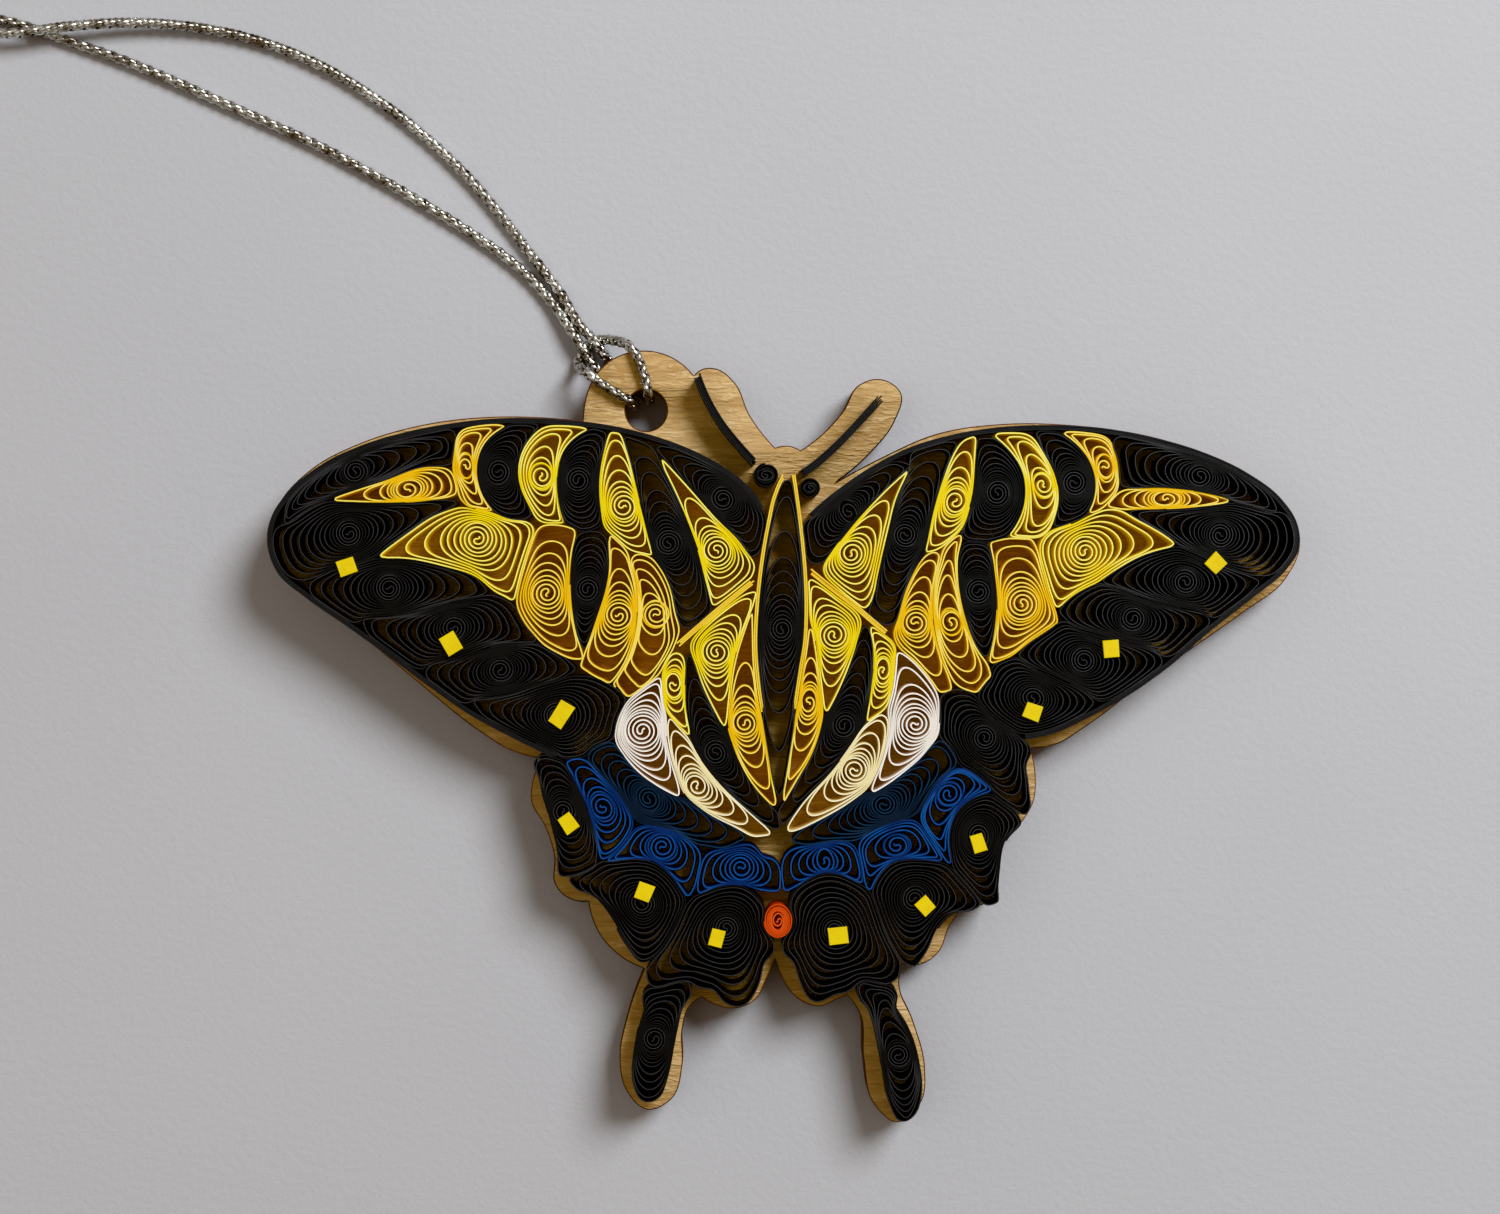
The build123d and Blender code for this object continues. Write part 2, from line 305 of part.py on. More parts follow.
right_hindwing_coil_shares = {
    "right_inner_teardrop": [
        ((4.6, 10.0), [(2.35, 15.2, pinch), (4.4, 13.7), (6.75, 11.7), (6.7, 9.6), (6.0, 7.2),
                       (4.95, 4.7), (3.9, 2.7, pinch), (3.5, 5.4), (3.1, 9.0), (2.5, 12.6)]),
    ],
    "right_slender_blade": [
        ((2.2, 3.6), [(2.35, 10.6, pinch), (1.85, 7.4), (1.4, 4.6), (0.9, 1.0), (0.2, -3.0),
                      (-0.3, -6.1, pinch), (0.9, -4.0), (2.3, -1.6), (3.1, 0.8), (3.3, 3.4),
                      (3.0, 6.4)]),
    ],
    "right_small_leaf": [
        ((9.3, 6.6), [(8.2, 10.7, pinch), (9.3, 9.9), (10.1, 8.6), (10.2, 6.4), (9.6, 4.0),
                      (7.8, 1.8, pinch), (8.2, 4.4), (8.5, 7.4), (8.45, 9.4)]),
    ],
    "right_dark_leaf": [
        ((5.6, 1.4), [(7.6, 10.8, pinch), (7.9, 5.4), (7.2, 2.2), (5.5, -0.9),
                      (3.0, -4.0), (0.8, -6.5), (-0.3, -7.9, pinch), (-0.1, -6.7), (1.2, -4.1),
                      (3.0, -0.9), (4.3, 2.2), (5.8, 5.6), (7.0, 8.8)]),
    ],
    "right_white_petal": [
        ((12.4, 1.5), [(10.8, 8.2, pinch), (12.6, 6.7), (14.2, 4.5), (14.6, 1.8), (13.5, -0.8),
                       (11.0, -3.1), (8.3, -4.9, pinch), (9.4, -2.6), (10.0, 0.6), (10.4, 4.0)]),
    ],
    "right_cream_petal": [
        ((6.6, -2.9), [(9.4, 2.2), (9.65, 1.5), (9.2, -0.8), (8.2, -3.1), (6.2, -5.4), (3.6, -7.2),
                       (0.3, -8.6, pinch), (1.6, -6.2), (4.2, -3.4), (6.2, -0.7), (7.9, 1.5)]),
    ],
    "right_navy_leaf": [
        ((9.4, -6.2), [(0.7, -9.6, pinch), (3.6, -8.2), (7.0, -6.5), (10.4, -4.5), (13.1, -2.2),
                       (14.8, -0.7), (15.8, -1.6), (14.8, -3.4), (12.8, -5.6), (9.6, -7.5),
                       (5.6, -8.8)]),
    ],
    "right_blue_row": [
        ((15.6, -5.2), [(17.1, -2.9), (18.5, -3.6), (19.6, -4.8, pinch), (17.6, -5.5), (16.1, -7.0),
                        (15.4, -9.4), (15.7, -11.7, pinch), (14.5, -10.0), (13.5, -7.6),
                        (13.9, -5.1), (15.3, -3.4)]),
        ((10.6, -10.1), [(8.0, -14.2, pinch), (7.5, -12.0), (7.7, -9.8), (9.5, -8.4), (11.8, -8.2),
                         (13.6, -9.6), (14.8, -11.4, pinch), (12.4, -11.2), (10.0, -11.5),
                         (8.7, -12.8)]),
        ((3.7, -11.6), [(0.0, -14.3, pinch), (0.2, -12.6), (1.4, -11.0), (3.6, -10.05), (5.7, -10.2),
                        (6.9, -11.7), (7.15, -13.6, pinch), (5.6, -12.8), (3.8, -12.5), (1.9, -13.1)]),
    ],
    "right_hindwing_margin": [
        ((19.0, 0.2), [(15.4, 3.6), (17.5, 3.6), (19.5, 2.1), (21.7, 0.2), (22.8, -2.2), (23.3, -4.8),
                       (22.8, -7.0, pinch), (20.4, -5.0), (17.8, -2.7), (15.9, -0.2), (15.15, 2.2)]),
        ((18.4, -9.2), [(18.6, -6.0), (20.8, -6.5), (22.3, -7.9, pinch), (21.0, -9.9), (20.5, -12.6),
                        (20.3, -15.4, pinch), (19.2, -15.3), (17.7, -13.6), (16.6, -11.4),
                        (16.2, -8.9), (16.9, -7.1)]),
        ((12.3, -15.2), [(9.7, -13.1), (11.6, -12.0), (14.2, -12.5), (16.4, -13.8),
                         (18.5, -15.7, pinch), (16.2, -16.5), (14.5, -18.2), (13.4, -20.6),
                         (12.3, -21.6, pinch), (10.8, -20.2), (9.7, -17.8), (9.0, -15.0)]),
        ((4.7, -18.2), [(4.0, -13.2), (6.4, -14.1), (8.1, -15.8), (9.1, -18.4), (10.4, -21.0),
                        (10.6, -22.6, pinch), (9.6, -23.0), (7.6, -22.2), (5.6, -23.0), (4.2, -24.7),
                        (2.8, -25.2), (1.3, -23.1), (0.7, -20.2), (1.0, -17.0), (2.1, -14.3)]),
        ((10.8, -30.2), [(7.1, -23.4, pinch), (8.7, -23.7), (10.3, -25.5), (11.9, -27.8),
                         (12.8, -30.8), (13.05, -34.0), (12.3, -36.1), (11.0, -36.7), (10.0, -35.2),
                         (9.3, -31.8), (8.5, -27.8), (7.7, -25.2)]),
    ],
}

body_coil_shares = {
    "body_coil": [
        ((-0.4, 10.6), [(0.15, 24.4), (-0.8, 21.8), (-1.8, 17.0), (-2.35, 11.5), (-2.1, 6.0),
                        (-1.4, 0.5), (-0.55, -5.4, pinch), (0.1, -1.0), (0.75, 5.0), (1.45, 11.0),
                        (1.3, 17.0), (0.8, 21.8)]),
    ],
}

# Strips that stand on edge without being rolled: a thickness and the line that each follows
standing_strip_shares = {
    "left_forewing_border": (border_thickness, [
        (-2.2, 21.9), (-3.9, 24.2), (-6.6, 26.2), (-9.6, 27.7), (-13.2, 28.95), (-17.5, 29.9), (-22.0, 30.35),
        (-26.9, 30.45), (-31.5, 30.0), (-35.8, 29.2), (-40.2, 27.9), (-44.0, 26.1), (-47.0, 23.7),
        (-48.8, 21.0), (-49.1, 18.6), (-48.2, 16.1), (-45.6, 13.8), (-41.6, 11.0), (-37.6, 8.1),
        (-33.6, 5.1), (-30.0, 2.6), (-26.6, 0.75), (-23.8, -0.65), (-21.9, -1.55)]),
    "right_forewing_border": (border_thickness, [
        (2.3, 21.3), (3.4, 22.35), (5.6, 24.1), (8.3, 25.9), (11.6, 27.6), (15.6, 28.85), (20.0, 29.6),
        (25.0, 29.85), (30.0, 29.6), (35.0, 28.7), (39.8, 27.3), (44.0, 25.35), (47.2, 22.95),
        (48.8, 20.4), (48.9, 18.3), (47.8, 16.5), (44.6, 13.8), (40.4, 10.5), (36.5, 7.15),
        (32.6, 4.4), (28.6, 2.2), (25.2, 0.7), (22.6, 0.25)]),
    "left_body_edge": (body_edge_thickness, [
        (-0.2, 25.3), (-1.1, 23.2), (-1.6, 21.0), (-2.05, 18.6), (-2.45, 15.8), (-2.75, 12.8),
        (-2.9, 9.6), (-2.75, 6.6), (-2.2, 2.7)]),
    "right_body_edge": (body_edge_thickness, [
        (0.75, 25.3), (1.1, 22.9), (1.4, 20.6), (1.7, 17.8), (1.9, 15.0), (1.95, 12.0), (1.85, 9.6),
        (1.45, 7.0), (0.8, 2.7)]),
    "left_hindwing_edge": (hindwing_edge_thickness, [
        (-3.05, 15.2), (-4.8, 13.8), (-6.8, 12.15), (-8.7, 10.5), (-10.3, 9.1)]),
    "right_hindwing_edge": (hindwing_edge_thickness, [
        (2.3, 16.2), (4.4, 14.5), (6.6, 12.8), (8.4, 11.25), (9.8, 10.1)]),
    "left_antenna": (antenna_thickness, [
        (-8.5, 34.9), (-6.5, 30.7), (-4.3, 27.9), (-2.95, 26.45)]),
    "right_antenna": (antenna_thickness, [
        (9.2, 32.8), (7.5, 30.9), (4.3, 27.6), (2.6, 26.15), (1.5, 25.4)]),
}

# Tight round coils, at the head and between the lower wings
left_eye_centre_shares = (-1.9, 25.3)
right_eye_centre_shares = (2.3, 24.05)
orange_centre_shares = (-0.75, -17.3)

# The flat squares on top: centre, width and height, and a turn in degrees
square_shares = [
    (-41.8, 16.5, 1.75, 1.5, 19), (-31.9, 9.2, 1.6, 1.95, 30), (-21.4, 2.5, 1.5, 2.4, -33),
    (41.1, 16.9, 1.55, 1.55, 45), (31.1, 8.7, 1.5, 1.65, 6), (23.6, 2.7, 1.6, 1.45, -20),
    (-20.75, -7.9, 1.45, 1.75, 36), (-13.5, -14.5, 1.55, 1.6, -22), (-6.6, -18.9, 1.3, 1.65, -15),
    (18.4, -9.9, 1.2, 1.7, 16), (13.3, -15.85, 1.55, 1.4, -48), (5.0, -18.7, 1.85, 1.55, 7),
]

# Where the board touches the table it lies on: its right tail and its right wing tip.  The cord
# behind its tab lifts the rest.
rest_tail_shares = (13.2, -35.4)
rest_wing_shares = (48.5, 15.3)

# The cord's route, in millimetres: across, up the picture, and above the table.  Both strands
# pass behind the board, come up through its hole and run over the tab's front to the bight,
# which passes under both strands, so that they hold it: a lark's head.
cord_floor = cord_diameter / 2
cord_front = board_thickness + 3 * cord_floor + 2 * cord_clearance
cord_over = cord_floor + cord_diameter + cord_clearance
knot_height = knot_belly_radius
hitch_route = [
    (-21.0, 41.9, 1.15), (-19.05, 40.0, cord_over), (-17.75, 37.95, cord_floor),
    (-13.5, 33.95, cord_floor), (-13.5, 33.95, cord_front), (-13.95, 36.4, cord_front),
    (-15.2, 39.3, cord_front), (-17.3, 40.1, 1.9), (-18.9, 40.3, cord_floor),
    (-20.25, 39.5, cord_floor), (-20.85, 38.05, cord_floor), (-20.6, 37.2, 2.2),
    (-19.85, 36.6, cord_front), (-17.85, 35.1, cord_front), (-15.0, 33.45, cord_front),
    (-15.0, 33.45, cord_floor), (-19.0, 37.1, cord_floor), (-20.4, 39.35, cord_over),
    (-22.1, 42.0, 1.15),
]
upper_cord_route = [
    (-22.3, 44.6, 0.7), (-24.9, 47.9, cord_floor), (-30.9, 55.8, cord_floor),
    (-38.0, 62.5, cord_floor), (-46.6, 68.2, cord_floor), (-55.2, 71.4, 0.6), (-64.4, 72.5, 1.2),
    (-72.4, 71.9, 1.8), (-78.6, 70.9, 1.8), (-82.3, 71.65, knot_height), (-85.0, 71.65, knot_height),
]
lower_cord_route = [
    (-23.6, 44.2, 0.65), (-26.4, 47.3, cord_floor), (-31.0, 50.7, cord_floor),
    (-38.9, 55.5, cord_floor), (-47.5, 60.2, cord_floor), (-56.2, 64.0, cord_floor),
    (-65.4, 68.1, cord_floor), (-72.5, 70.6, cord_floor), (-79.0, 72.8, 0.75),
    (-82.3, 72.75, knot_height), (-85.0, 72.75, knot_height),
]


def at(place_shares):
    """Turn a place given in hundredths of the wing span into millimetres."""
    return Vector(place_shares[0] * share, place_shares[1] * share)


def toward(start, end, part):
    """Give the point that lies a part of the way from one point to another."""
    return start + (end - start) * part


def facet_points(curve):
    """Divide a smooth edge into the starts of straight facets of about one length."""
    count = math.ceil(curve.length / facet_length)
    return [curve @ (step / count) for step in range(count)]


def is_left_turning(points):
    """Tell whether a closed outline runs anticlockwise."""
    return sum(here.X * there.Y - there.X * here.Y for here, there in zip(points, points[1:] + points[:1])) > 0


def beside(points, distance, closed=False):
    """Shift a line of points to its left by a distance, with mitred corners."""
    shifted = []
    for index, point in enumerate(points):
        before = points[index - 1] if closed or index else None
        after = points[(index + 1) % len(points)] if closed or index < len(points) - 1 else None
        arriving = (point - (before or 2 * point - after)).normalized()
        leaving = ((after or 2 * point - before) - point).normalized()
        left = Vector(-arriving.Y, arriving.X)
        middle = Vector(-arriving.Y - leaving.Y, arriving.X + leaving.X).normalized()
        shifted.append(point + middle * (distance / max(middle.dot(left), mitre_share)))
    return shifted


def strip_outline(points, thickness):
    """Draw round a strip that stands on edge along a line of points."""
    return beside(points, thickness / 2) + beside(points, -thickness / 2)[::-1]


def wound_line(eye, outline_shares):
    """Wind a line inward from a coil's outline, through its pinches and every other point."""
    corners = [at(place) for i, place in enumerate(outline_shares) if i % 2 == 0 or len(place) > 2]
    steps = round(coil_turns * len(corners))
    line = [corners[0] + (eye - corners[0]).normalized() * (paper_thickness / 2)]
    for step in range(1, steps + 1):
        depth = coil_start_share + (coil_end_share - coil_start_share) * step / steps
        line.append(toward(corners[step % len(corners)], eye, depth))
    return line


def round_coil(centre_shares, half_width, half_height):
    """Give the eye and the outline of a coil that was left round or oval."""
    outline = []
    for step in range(round_facets):
        angle = math.tau * step / round_facets
        across = centre_shares[0] + half_width * math.cos(angle) / share
        outline.append((across, centre_shares[1] + half_height * math.sin(angle) / share))
    return [(centre_shares, outline)]


def corner_radii(points):
    """Give each corner of a cord's route the arc that its two runs allow."""
    radii = []
    for before, corner, after in zip(points, points[1:], points[2:]):
        turn = (corner - before).get_angle(after - corner)
        shorter_run = min((corner - before).length, (after - corner).length)
        radius = arc_share * shorter_run / math.tan(math.radians(turn / 2))
        radii.append(min(radius, fold_radius) if turn > fold_turn else radius)
    return radii


os.makedirs("parts", exist_ok=True)

# The board's outline, drawn flat first to find its middle
board_edge_points = []
for stretch in board_outline_shares:
    board_edge_points += facet_points(Edge.make_spline([at(place) for place in stretch]))
with BuildSketch() as board_face:
    with BuildLine():
        Polyline(*board_edge_points, close=True)
    make_face()
    with Locations(at(hole_centre_shares)):
        Circle(hole_radius, mode=Mode.SUBTRACT)
board_middle = board_face.sketch.bounding_box().center()

# The plane of the board's back, as it rests on the table and on its own cord
rest_tail = at(rest_tail_shares)
rest_line = (at(rest_wing_shares) - rest_tail).normalized()
uphill = Vector(-rest_line.Y, rest_line.X)
slope = (cord_diameter + cord_clearance) / (at(hole_centre_shares) - rest_tail).dot(uphill)
rise = uphill * slope
back_plane = Plane(
    origin=(-board_middle.X, -board_middle.Y, -rest_tail.dot(rise)),
    x_dir=(1, 0, rise.X),
    z_dir=(-rise.X, -rise.Y, 1),
)
face_plane = back_plane.offset(board_thickness)
top_plane = face_plane.offset(strip_width)

with BuildPart() as backing_board:
    with BuildSketch(back_plane):
        add(board_face.sketch)
    extrude(amount=board_thickness)
backing_board.part.label = "backing_board"
export_step(backing_board.part, "parts/backing_board.step")

# Every coil of rolled paper strip: a closed outer turn, and the strip winding inward from it
coil_nodes = {
    **left_forewing_coil_shares,
    **right_forewing_coil_shares,
    **left_hindwing_coil_shares,
    **right_hindwing_coil_shares,
    **body_coil_shares,
    "left_eye": round_coil(left_eye_centre_shares, left_eye_radius, left_eye_radius),
    "right_eye": round_coil(right_eye_centre_shares, right_eye_radius, right_eye_radius),
    "orange_spot": round_coil(orange_centre_shares, orange_half_width, orange_half_height),
}
for name, coils in coil_nodes.items():
    with BuildPart() as coil_part:
        with BuildSketch(face_plane):
            for eye_shares, outline_shares in coils:
                outline = [at(place) for place in outline_shares]
                inward = paper_thickness if is_left_turning(outline) else -paper_thickness
                with BuildLine():
                    Polyline(*outline, close=True)
                make_face()
                with BuildLine():
                    Polyline(*beside(outline, inward, closed=True), close=True)
                make_face(mode=Mode.SUBTRACT)
                with BuildLine():
                    wound = wound_line(at(eye_shares), outline_shares)
                    Polyline(*strip_outline(wound, paper_thickness), close=True)
                make_face()
        extrude(amount=strip_width)
    coil_part.part.label = name
    export_step(coil_part.part, f"parts/{name}.step")

# The strips that stand on edge without being rolled
for name, (thickness, line_shares) in standing_strip_shares.items():
    with BuildPart() as standing_strip:
        with BuildSketch(face_plane):
            with BuildLine():
                Polyline(*strip_outline([at(place) for place in line_shares], thickness), close=True)
            make_face()
        extrude(amount=strip_width)
    standing_strip.part.label = name
    export_step(standing_strip.part, f"parts/{name}.step")

# The yellow paper squares, glued on top of the black coils round the margin
with BuildPart() as yellow_squares:
    with BuildSketch(top_plane):
        for across, up, width, height, turn in square_shares:
            with Locations(at((across, up))):
                Rectangle(width * share, height * share, rotation=turn)
    extrude(amount=square_thickness)
yellow_squares.part.label = "yellow_squares"
export_step(yellow_squares.part, "parts/yellow_squares.step")

# The cord: the hitch round the tab, and the two strands that run to the knot.  Each strand
# meets the hitch in the middle of a straight run.
hitch_points = [Vector(*place) for place in hitch_route]
upper_points = [Vector(*place) for place in upper_cord_route]
lower_points = [Vector(*place) for place in lower_cord_route]
upper_join = toward(hitch_points[0], upper_points[0], 0.5)
lower_join = toward(hitch_points[-1], lower_points[0], 0.5)
cord_paths = {
    "cord_hitch": [upper_join, *hitch_points, lower_join],
    "upper_cord_strand": [upper_join, *upper_points],
    "lower_cord_strand": [lower_join, *lower_points],
}
for name, points in cord_paths.items():
    radii = corner_radii(points)
    with BuildPart() as cord:
        with BuildLine() as path:
            FilletPolyline(*points, radius=radii)
        route = path.wires()[0]
        with BuildSketch(Plane(origin=route @ 0, z_dir=route % 0)) as section:
            RegularPolygon(cord_diameter / 2, cord_sides)
        sweep(path=route)
    cord.part.label = name
    export_step(cord.part, f"parts/{name}.step")
    print(name, "radii", [round(radius, 1) for radius in radii])
    print(name, "length", round(route.length, 1), "and volume over section times length",
          round(cord.part.volume / section.sketch.area / route.length, 4))

# The knot that ties the strands' ends, with both strands running into its flat end
knot_middle = toward(upper_points[-1], lower_points[-1], 0.5)
knot_plane = Plane(origin=knot_middle, x_dir=(0, -1, 0), z_dir=(-1, 0, 0))
with BuildPart() as cord_knot:
    with BuildSketch(knot_plane):
        RegularPolygon(knot_waist_radius, knot_sides)
    with BuildSketch(knot_plane.offset(knot_length / 4)):
        RegularPolygon(knot_belly_radius, knot_sides)
    with BuildSketch(knot_plane.offset(knot_length * 3 / 4)):
        RegularPolygon(knot_belly_radius, knot_sides)
    with BuildSketch(knot_plane.offset(knot_length)):
        RegularPolygon(knot_waist_radius, knot_sides)
    loft(ruled=True)
cord_knot.part.label = "cord_knot"
export_step(cord_knot.part, "parts/cord_knot.step")
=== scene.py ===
import logging
import math
from collections.abc import Sequence
from dataclasses import dataclass, field
from enum import Enum

import bpy
import numpy as np
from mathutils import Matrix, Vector
from mathutils.geometry import tessellate_polygon


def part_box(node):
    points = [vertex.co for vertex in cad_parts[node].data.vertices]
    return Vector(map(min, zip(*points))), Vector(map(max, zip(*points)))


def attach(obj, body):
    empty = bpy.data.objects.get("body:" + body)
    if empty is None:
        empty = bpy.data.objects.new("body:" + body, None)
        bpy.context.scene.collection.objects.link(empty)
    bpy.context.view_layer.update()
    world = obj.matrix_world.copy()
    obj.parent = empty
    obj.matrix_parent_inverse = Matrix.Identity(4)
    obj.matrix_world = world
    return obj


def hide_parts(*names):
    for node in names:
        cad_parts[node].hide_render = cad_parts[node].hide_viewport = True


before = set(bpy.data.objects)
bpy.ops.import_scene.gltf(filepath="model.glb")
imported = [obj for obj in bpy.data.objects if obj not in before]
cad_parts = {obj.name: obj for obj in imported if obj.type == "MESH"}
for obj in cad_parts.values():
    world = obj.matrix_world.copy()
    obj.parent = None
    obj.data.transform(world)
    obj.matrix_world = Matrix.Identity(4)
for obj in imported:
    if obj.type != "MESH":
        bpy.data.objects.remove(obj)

log = logging.getLogger("butterfly")
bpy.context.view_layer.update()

MM = 0.001
PINCH = 1
TINY = 1e-9
BORDER_THICKNESS = 0.5
BODY_EDGE_THICKNESS = 0.34
HINDWING_EDGE_THICKNESS = 0.5
ANTENNA_THICKNESS = 0.75

Colour = tuple[float, float, float, float]
Place = tuple[float, float, float]
Points = np.ndarray

# The outline of the wooden board, in hundredths of the wing span. Each stretch is one smooth edge, and
# the stretches meet in the notches between the wings, tails and antennae.
BOARD_OUTLINE_SHARES = [
    [(-19.5, 30.6), (-19.3, 32.6), (-18.4, 34.9), (-16.8, 36.5), (-14.1, 37.4), (-11.4, 37.0), (-8.8, 35.0)],
    [(-8.8, 35.0), (-8.1, 35.6), (-6.7, 35.7), (-4.9, 34.4), (-3.4, 31.2), (-0.95, 28.05)],
    [(-0.95, 28.05), (0.3, 28.25), (1.5, 27.8)],
    [(1.5, 27.8), (5.6, 31.6), (7.1, 34.1), (9.2, 34.7), (11.2, 33.4), (10.6, 30.6), (8.4, 27.7),
     (4.7, 24.6)],
    [(4.7, 24.6), (9.2, 27.05), (14.6, 29.4), (21.4, 30.4), (28.1, 30.25), (36.2, 29.0), (41.7, 27.1),
     (45.8, 24.8), (48.9, 21.8), (49.95, 18.6), (48.5, 15.3), (44.4, 12.1), (39.0, 8.3), (33.9, 4.6),
     (28.9, 0.9), (26.4, -0.6), (23.8, -1.0)],
    [(23.8, -1.0), (24.3, -3.6), (24.1, -6.2), (22.8, -8.4), (21.2, -10.0), (20.8, -13.0), (20.2, -15.6)],
    [(20.2, -15.6), (18.8, -16.3), (17.4, -16.3)],
    [(17.4, -16.3), (16.0, -18.2), (14.9, -20.8), (13.4, -21.9), (11.4, -21.9)],
    [(11.4, -21.9), (11.1, -23.9), (12.4, -27.3), (13.6, -32.0), (13.2, -35.4), (10.9, -37.3), (8.7, -35.6),
     (7.6, -31.0), (7.2, -26.6), (6.0, -24.9)],
    [(6.0, -24.9), (4.9, -25.4), (3.4, -26.0), (1.3, -25.3), (-0.2, -23.4), (-0.95, -21.4)],
    [(-0.95, -21.4), (-1.8, -23.4), (-2.9, -25.4), (-4.9, -26.2), (-6.6, -25.9), (-8.0, -25.1)],
    [(-8.0, -25.1), (-9.2, -26.0), (-9.9, -28.2), (-9.9, -31.6), (-11.0, -35.0), (-13.3, -36.0),
     (-15.3, -34.2), (-16.0, -30.8), (-15.3, -27.0), (-13.6, -22.3)],
    [(-13.6, -22.3), (-15.8, -21.2), (-17.9, -19.0), (-19.0, -15.8)],
    [(-19.0, -15.8), (-20.9, -15.5), (-22.2, -14.2), (-22.3, -11.4), (-23.2, -8.5), (-24.5, -6.1),
     (-24.3, -3.8), (-23.5, -1.95)],
    [(-23.5, -1.95), (-26.4, -1.2), (-29.6, 0.75), (-34.7, 4.8), (-38.4, 7.9), (-42.1, 10.9), (-46.7, 14.1),
     (-49.3, 17.0), (-49.9, 19.8), (-48.6, 22.9), (-45.6, 26.0), (-40.6, 28.6), (-35.1, 30.2), (-28.7, 31.0),
     (-24.0, 31.0), (-19.5, 30.6)],
]

